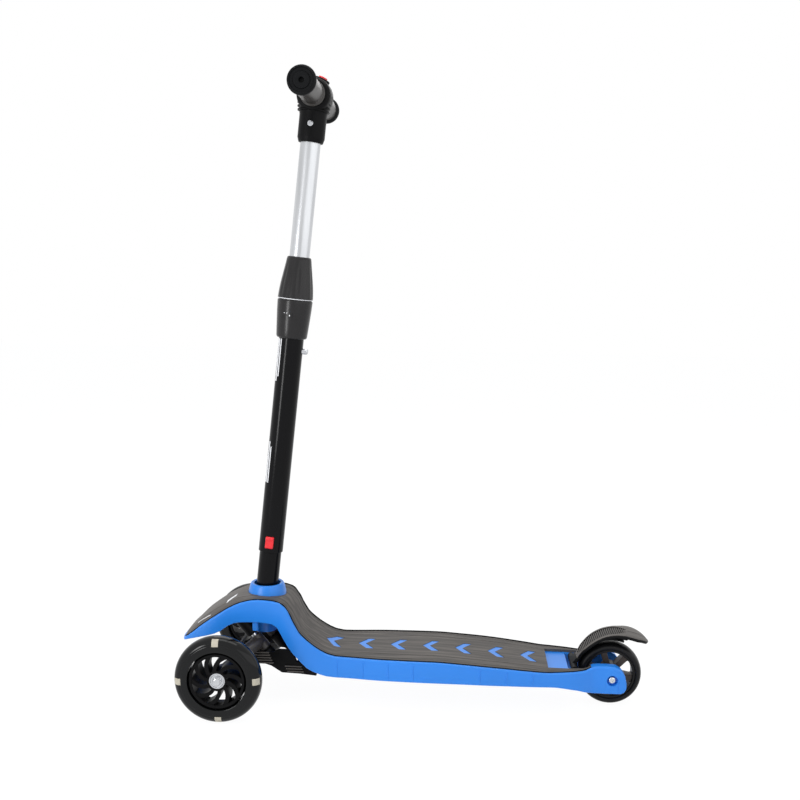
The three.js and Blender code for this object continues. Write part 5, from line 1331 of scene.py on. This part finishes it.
hood = dressed(fender_hood(), cover_plastic, "cover_plastic", "fender", "fender")
# Painted shade: the hood's faces that face sideways or downwards take a black finish, darker than its own plastic.
repainted(hood, black_nylon, lambda face: abs(face.normal.y) > SHADED_SIDE_FACING or face.normal.z < SHADED_UNDER_FACING)
dressed(panel_shade_floor(), flange_black, "cover_plastic", "fender")
dressed(fender_ribs(), cover_plastic, "cover_plastic", "fender")
# Painted shade: the hinge barrel and webs are of the fender's own plastic but take a near-black finish, as they lie
# in shade.
dressed(fender_root(), flange_black, "cover_plastic", "fender")
dressed(brake_pad(), black_nylon, "black_rubber", "fender", "brake_pad")
dressed(cross_rod("fender_pin_turned", 2.5, *BRAKE_PIN, 33.7, 32, 0.4), zinc_steel, "steel", "deck", "fender_pin")


# Stem: lower post, black outer tube, release button, snap pin and collars
POST = (15.7, 13.7)
OUTER = (17.5, 16.1)
INNER = (14, 12.4)
OUTER_LOW, OUTER_HIGH = 61.3, 424
POST_BOLT = -30
SNAP_PIN = 353.6
TEE_BOLT = 664.5
TEE_AXIS = 702.8
HEAD_TILT = math.radians(-18.3)


def up_stem(height):
    """A local frame on the stem's own line at the given height."""
    return STEM @ Matrix.Translation((0, 0, height * MM))


def rearwards(height):
    """A local frame whose Z runs out of the stem to the rear at the given height."""
    return up_stem(height) @ Matrix.Rotation(-math.pi / 2, 4, "Y")


def sideways(height):
    """A local frame whose Z runs out of the stem to the left at the given height."""
    return up_stem(height) @ OUTWARDS


HEAD = up_stem(TEE_AXIS) @ Matrix.Rotation(HEAD_TILT, 4, "Y")
HANDLE = sideways(TEE_AXIS)


def tube(name, radii, low, high, place=STEM, steps=128):
    outer, inner = radii
    return turned(name, [
        (inner, low + 0.3), (inner + 0.3, low), (outer - 0.3, low), (outer, low + 0.3), (outer, high - 0.3),
        (outer - 0.3, high), (inner + 0.3, high), (inner, high - 0.3)], steps, place)


lower_post = tube("lower_post_tube", POST, -57, 152)
carved(lower_post, block("key_slot", (-6.6, 0, 66), (6.6, 20, 156), place=STEM))
carved(lower_post, along_z("bolt_bore", POST_BORE, -20, 20, sideways(POST_BOLT), 24))
dressed(neat(lower_post), gloss_black, "black_paint", "deck", "lower_post")
post_bolt = turned("post_bolt_turned", [
    (0, -24.9), (2.7, -24.9), (3, -24.6), (3, 20.8), (5, 20.8), (5, 23), (4.5, 23.7), (3.6, 23.9), (1.8, 23.9),
    (1.8, 22.4), (0, 22.4)], 48, sideways(POST_BOLT))
dressed(post_bolt, zinc_steel, "steel", "deck", "post_bolt")
post_nut = hex_nut("post_nut_turned", 5.5, POST_BORE, -24.9, -20.8, sideways(POST_BOLT))
dressed(post_nut, zinc_steel, "steel", "deck", "post_nut")

outer_tube = tube("outer_tube_painted", OUTER, OUTER_LOW, OUTER_HIGH)
carved(outer_tube, block("press_window", (-6.15, 0, 68.2), (6.15, 30, 85.8), 2, STEM))
carved(outer_tube, along_z("pin_bore", 4.55, 0, 30, rearwards(SNAP_PIN), 40))
dressed(neat(outer_tube), gloss_black, "black_paint", "stem_tube", "outer_tube")

release = block("release_button_moulded", (-5.85, 12, 68.5), (5.85, 20.1, 85.5), 1.5, STEM)
dish_ends = [STEM @ Vector((side * 0.02, 0.0332, 0.077)) for side in (-1, 1)]
carved(release, rod("thumb_dish", 14, *dish_ends, 64))
dressed(neat(release, 40), red_press, "red_plastic", "release_button", "release_button")
snap = turned("snap_pin_turned", [
    (0, 8.4), (5.7, 8.4), (6, 8.7), (6, 10.1), (5.7, 10.4), (4.25, 10.4), (4.25, 22.8), (3.9, 24), (2.9, 24.9),
    (1.5, 25.3), (0, 25.3)], 48, rearwards(SNAP_PIN))
dressed(snap, zinc_steel, "steel", "snap_pin", "snap_pin")

LOWER_COLLAR = [
    (17.8, 370.8), (19.7, 370.8), (20.4, 371.1), (21.3, 372.3), (21.7, 374), (22.5, 385), (23.36, 398.1),
    (24.1, 410), (24.55, 421.5), (24.6, 422.9), (24.5, 423.7), (23.6, 424), (23.6, 425.4), (18, 425.4), (18, 445),
    (14.3, 445), (14.3, 424.3), (17.8, 424.3)]
FLUTES = 12
FLUTE_DEPTH = 0.62


def lower_collar():
    """Clamp collar at the top of the outer tube, with small raised marks on its left flank."""
    collar = turned("lower_collar_moulded", LOWER_COLLAR, 128, STEM)
    marks = [(-0.56, 400, 7, 1.5), (-0.2, 398.5, 2.2, 4.2), (-0.2, 403.5, 4.4, 1.4), (0.06, 400, 1.6, 6.4),
             (0.3, 397.5, 4.6, 1.4), (0.3, 401.5, 3, 1.4)]
    for turn, height, wide, tall in marks:
        place = STEM @ Matrix.Rotation(turn, 4, "Z")
        stud = block("raised_mark", (-wide / 2, 20, height), (wide / 2, 25.2, height + tall), 0.3, place)
        shield = turned("shield", [(0, 380), (22.7, 380), (24.72, 410), (0, 410)], 96, STEM)
        carved(collar, carved(stud, shield, "INTERSECT"), "UNION")
    return neat(collar, 34)


def twist_collar():
    """Twist grip of the height clamp: soft flutes that run out to a narrow neck."""
    heights = [426.6, 427.2, 429, 433, 437.5, 441.2, 446, 452, 458, 462, 466, 470, 475.6, 480, 482.9, 483.9, 484.4]
    radius = line_through([(426.6, 24.1), (427.2, 24.6), (441.2, 23.51), (459.9, 20.7), (475.6, 18.05),
                           (482.9, 16.8), (484.4, 15.6)])
    corners = FLUTES * 12
    rings = []
    for height in heights:
        share = min(max((height - 427) / 5, 0), 1) * min(max((478 - height) / 14, 0), 1)
        ring = []
        for k in range(corners):
            a = 2 * math.pi * k / corners
            r = radius(height) - FLUTE_DEPTH * share * (0.5 - 0.5 * math.cos(FLUTES * a)) ** 2
            ring.append(STEM @ Vector((r * math.cos(a) * MM, r * math.sin(a) * MM, height * MM)))
        rings.append(ring)
    collar = drawn_out("twist_collar_moulded", rings)
    bore = [(0, 425), (18.5, 425), (18.5, 446.6), (14.6, 446.6), (14.6, 486), (0, 486)]
    carved(collar, turned("bore", bore, 96, STEM))
    return neat(collar, 40)


def collar_mark_glints():
    """Three small white dots on the left flank of the lower collar: painted highlights on its raised marks."""
    sleeve = turned("collar_mark_glints", [
        (23.04, 393), (23.14, 393), (23.48, 398.1), (24.22, 410), (24.12, 410), (23.38, 398.1)], 128, STEM)
    dots = []
    for turn, height, wide, tall in ((-0.42, 405.5, 1.1, 1.1), (-0.26, 405.6, 1.8, 0.8), (-0.08, 402, 1.5, 1.9)):
        place = STEM @ Matrix.Rotation(turn, 4, "Z")
        dots.append(block("dot", (-wide / 2, 20, height), (wide / 2, 26, height + tall), place=place))
    return neat(carved(sleeve, joined("dots", dots), "INTERSECT"))


dressed(lower_collar(), collar_grey, "grey_plastic", "stem_tube", "lower_collar")
dressed(collar_mark_glints(), print_white, "grey_plastic", "stem_tube")
dressed(twist_collar(), collar_grey, "grey_plastic", "twist_collar", "twist_collar")
# Painted highlight: a pale ring at the joint of the two collars, where light catches the edge.
seam_highlight = turned("collar_seam_highlight", [(18.4, 425.5), (24.4, 425.5), (24.5, 426.4), (18.4, 426.4)], 128, STEM)
dressed(seam_highlight, print_white, "grey_plastic", "stem_tube")


def tube_print(name, turn, low, high, half):
    """A printed patch that wraps the tube, so many degrees round from its front."""
    inside, outside = OUTER[0] + 0.02, OUTER[0] + 0.12
    ring = turned(name, [(inside, low), (outside, low), (outside, high), (inside, high)], 128, STEM)
    place = STEM @ Matrix.Rotation(math.radians(turn), 4, "Z")
    return neat(carved(ring, block("patch", (0, -half, low - 5), (30, half, high + 5), place=place), "INTERSECT"))


for i, (turn, low, high, half) in enumerate([
        (33, 309, 369, 1.6), (48, 316, 369, 1), (20, 330, 369, 1), (33, 163, 222, 1.6), (48, 163, 215, 1),
        (20, 163, 200, 1)]):
    dressed(tube_print(f"tube_print_{i + 1}", turn, low, high, half), print_white, "black_paint", "stem_tube")


# T-bar: sliding inner tube, ribbed head with its red button, handlebars and grips
TEE_RIBS = [683 + 5 * i for i in range(5)]
TEE_RIB_RADIUS = 22.2
TEE_RIB_GROWTH = 0.55
TEE_RIB_REACH = 20.4


def inner_tube():
    body = tube("inner_tube_drawn", INNER, 284.4, 674)
    carved(body, block("rear_slot", (-30, -4.8, 313), (0, 4.8, 479), place=STEM))
    carved(body, along_z("bolt_bore", SLIM_BORE, -20, 20, sideways(TEE_BOLT), 24))
    return neat(body)


def tee_head():
    body = turned("tee_head", [
        (14.3, 640.7), (14.7, 640.4), (16.6, 640.4), (17, 640.8), (17.6, 643), (18.6, 646), (18.8, 647),
        (18.8, 676.5), (19.6, 683), (20.3, 688.8), (20.7, 698.8), (0, 698.8), (0, 674.3), (14.3, 674.3)], 128, STEM)
    for i, height in enumerate(TEE_RIBS):
        r = TEE_RIB_RADIUS + TEE_RIB_GROWTH * i
        rib = turned("rib", [(12, height - 1.2), (r - 0.5, height - 1.2), (r, height - 0.7), (r, height + 0.7),
                             (r - 0.5, height + 1.2), (12, height + 1.2)], 128, STEM)
        low, high = (-30, -TEE_RIB_REACH, height - 5), (30, TEE_RIB_REACH, height + 5)
        carved(rib, block("between_grips", low, high, place=STEM), "INTERSECT")
        carved(body, rib, "UNION")
    barrel = [(0, -21), (19.4, -21), (20.2, -20.6), (22, -18.4), (22.9, -17), (23.6, -12), (24, -8), (24, 8),
              (23.6, 12), (22.9, 17), (22, 18.4), (20.2, 20.6), (19.4, 21), (0, 21)]
    carved(body, turned("cross_barrel", barrel, 128, HANDLE), "UNION")
    boss = [(0, 12.6), (10.8, 12.6), (10.8, 24.6), (10.2, 25.2), (0, 25.2)]
    carved(body, turned("boss", boss, 96, HEAD), "UNION")
    carved(body, along_z("bar_bore", 11.3, -22, 22, HANDLE, 64))
    carved(body, along_z("press_bore", 6.8, 10, 26, HEAD, 48))
    carved(body, along_z("press_room", 8.5, 8.9, 15.9, HEAD, 48))
    place = sideways(TEE_BOLT)
    carved(body, along_z("bolt_bore", SLIM_BORE, -22, 22, place, 24))
    carved(body, along_z("head_room", 4.6, 15.7, 26, place, 40))
    carved(body, along_z("nut_room", 4.9, -26, -15.7, place, 40))
    return neat(body, 34)


dressed(inner_tube(), bright_tube, "silver_tube", "bar_stem", "inner_tube")
dressed(tee_head(), black_nylon, "black_plastic", "bar_stem", "tee_piece")
tee_bolt = turned("tee_bolt_turned", [
    (0, -18.3), (2.2, -18.3), (2.5, -18), (2.5, 15.7), (4.3, 15.7), (4.3, 17.8), (3.8, 18.5), (2.9, 18.7),
    (2.2, 18.7), (2.2, 16), (0, 16)], 48, sideways(TEE_BOLT))
dressed(tee_bolt, zinc_steel, "steel", "bar_stem", "tee_bolt")
tee_nut = hex_nut("tee_nut_turned", 4.5, SLIM_BORE, -18.3, -15.7, sideways(TEE_BOLT))
dressed(tee_nut, zinc_steel, "steel", "bar_stem", "tee_nut")
head_button = turned("head_button_moulded", [
    (0, 14), (7.9, 14), (8.2, 14.3), (8.2, 15.3), (7.9, 15.6), (6.5, 15.6), (6.5, 26.6), (6.1, 27.5), (5, 28),
    (3, 28.3), (0, 28.4)], 64, HEAD)
dressed(head_button, red_press, "red_plastic", "head_button", "head_button")

BAR = (11, 9.4)
GRIP_BODY = [
    (11.3, 23.4), (15.7, 23.4), (16.6, 23.7), (17.1, 24.3), (17.2, 25), (17, 25.9), (16.4, 26.8), (15.4, 27.8),
    (14.9, 28.8), (15, 31), (15.5, 37), (15.9, 44), (16.05, 52), (16.05, 74), (15.8, 86), (15.3, 96), (14.8, 102.5),
    (14.9, 104.8), (15.3, 106), (11.3, 106)]
GRIP_FLANGE = [
    (11.3, 106.1), (15.4, 106.1), (16.6, 106.7), (17.8, 108), (18.7, 109.8), (19.05, 112), (18.8, 114.2),
    (18.3, 115.4), (17.5, 116.1), (16.4, 116.4), (15.8, 116.2), (15.4, 115.5), (15, 114.9), (11.3, 114.6)]
PLUG = [
    (0, 106), (8.6, 106), (9.1, 106.4), (9.1, 114.3), (11, 114.3), (11, 115.1), (10.6, 115.6), (8.6, 115.85),
    (4.6, 115.4), (3.8, 115.1), (3.4, 114.4), (3.2, 110), (0, 110)]
handlebar = tube("bar_left_drawn", BAR, 1, 114, HANDLE, 96)
both_sides(handlebar, bright_tube, "silver_tube", "handle_{}", "handlebar_{}")
both_sides(turned("grip_left_sleeve", GRIP_BODY, 128, HANDLE), grip_foam, "grip_rubber", "handle_{}", "grip_{}")
flange = turned("grip_flange_left", GRIP_FLANGE, 128, HANDLE)
both_sides(flange, flange_black, "grip_rubber", "handle_{}", "grip_{}")
both_sides(turned("plug_left_cap", PLUG, 96, HANDLE), flange_black, "black_plastic", "handle_{}", "end_plug_{}")


# The hidden frame pieces take the finishes of their slots
PAINTS = {
    "blue_shell": blue_moulding, "mat_rubber": mat_rubber, "cover_plastic": cover_plastic,
    "black_plastic": black_nylon, "grey_plastic": grey_nylon, "black_paint": gloss_black,
    "silver_tube": bright_tube, "steel": zinc_steel, "red_plastic": red_press, "front_tyre": smoke_cast,
    "rear_tyre": tread_black, "lamp_plastic": lamp_beige, "black_rubber": black_nylon, "grip_rubber": grip_foam}
for part in frame["record"]["subparts"]:
    node = frame["nodes"][part["node"]]
    node.data.materials.clear()
    node.data.materials.append(PAINTS[part["material_slot"]])
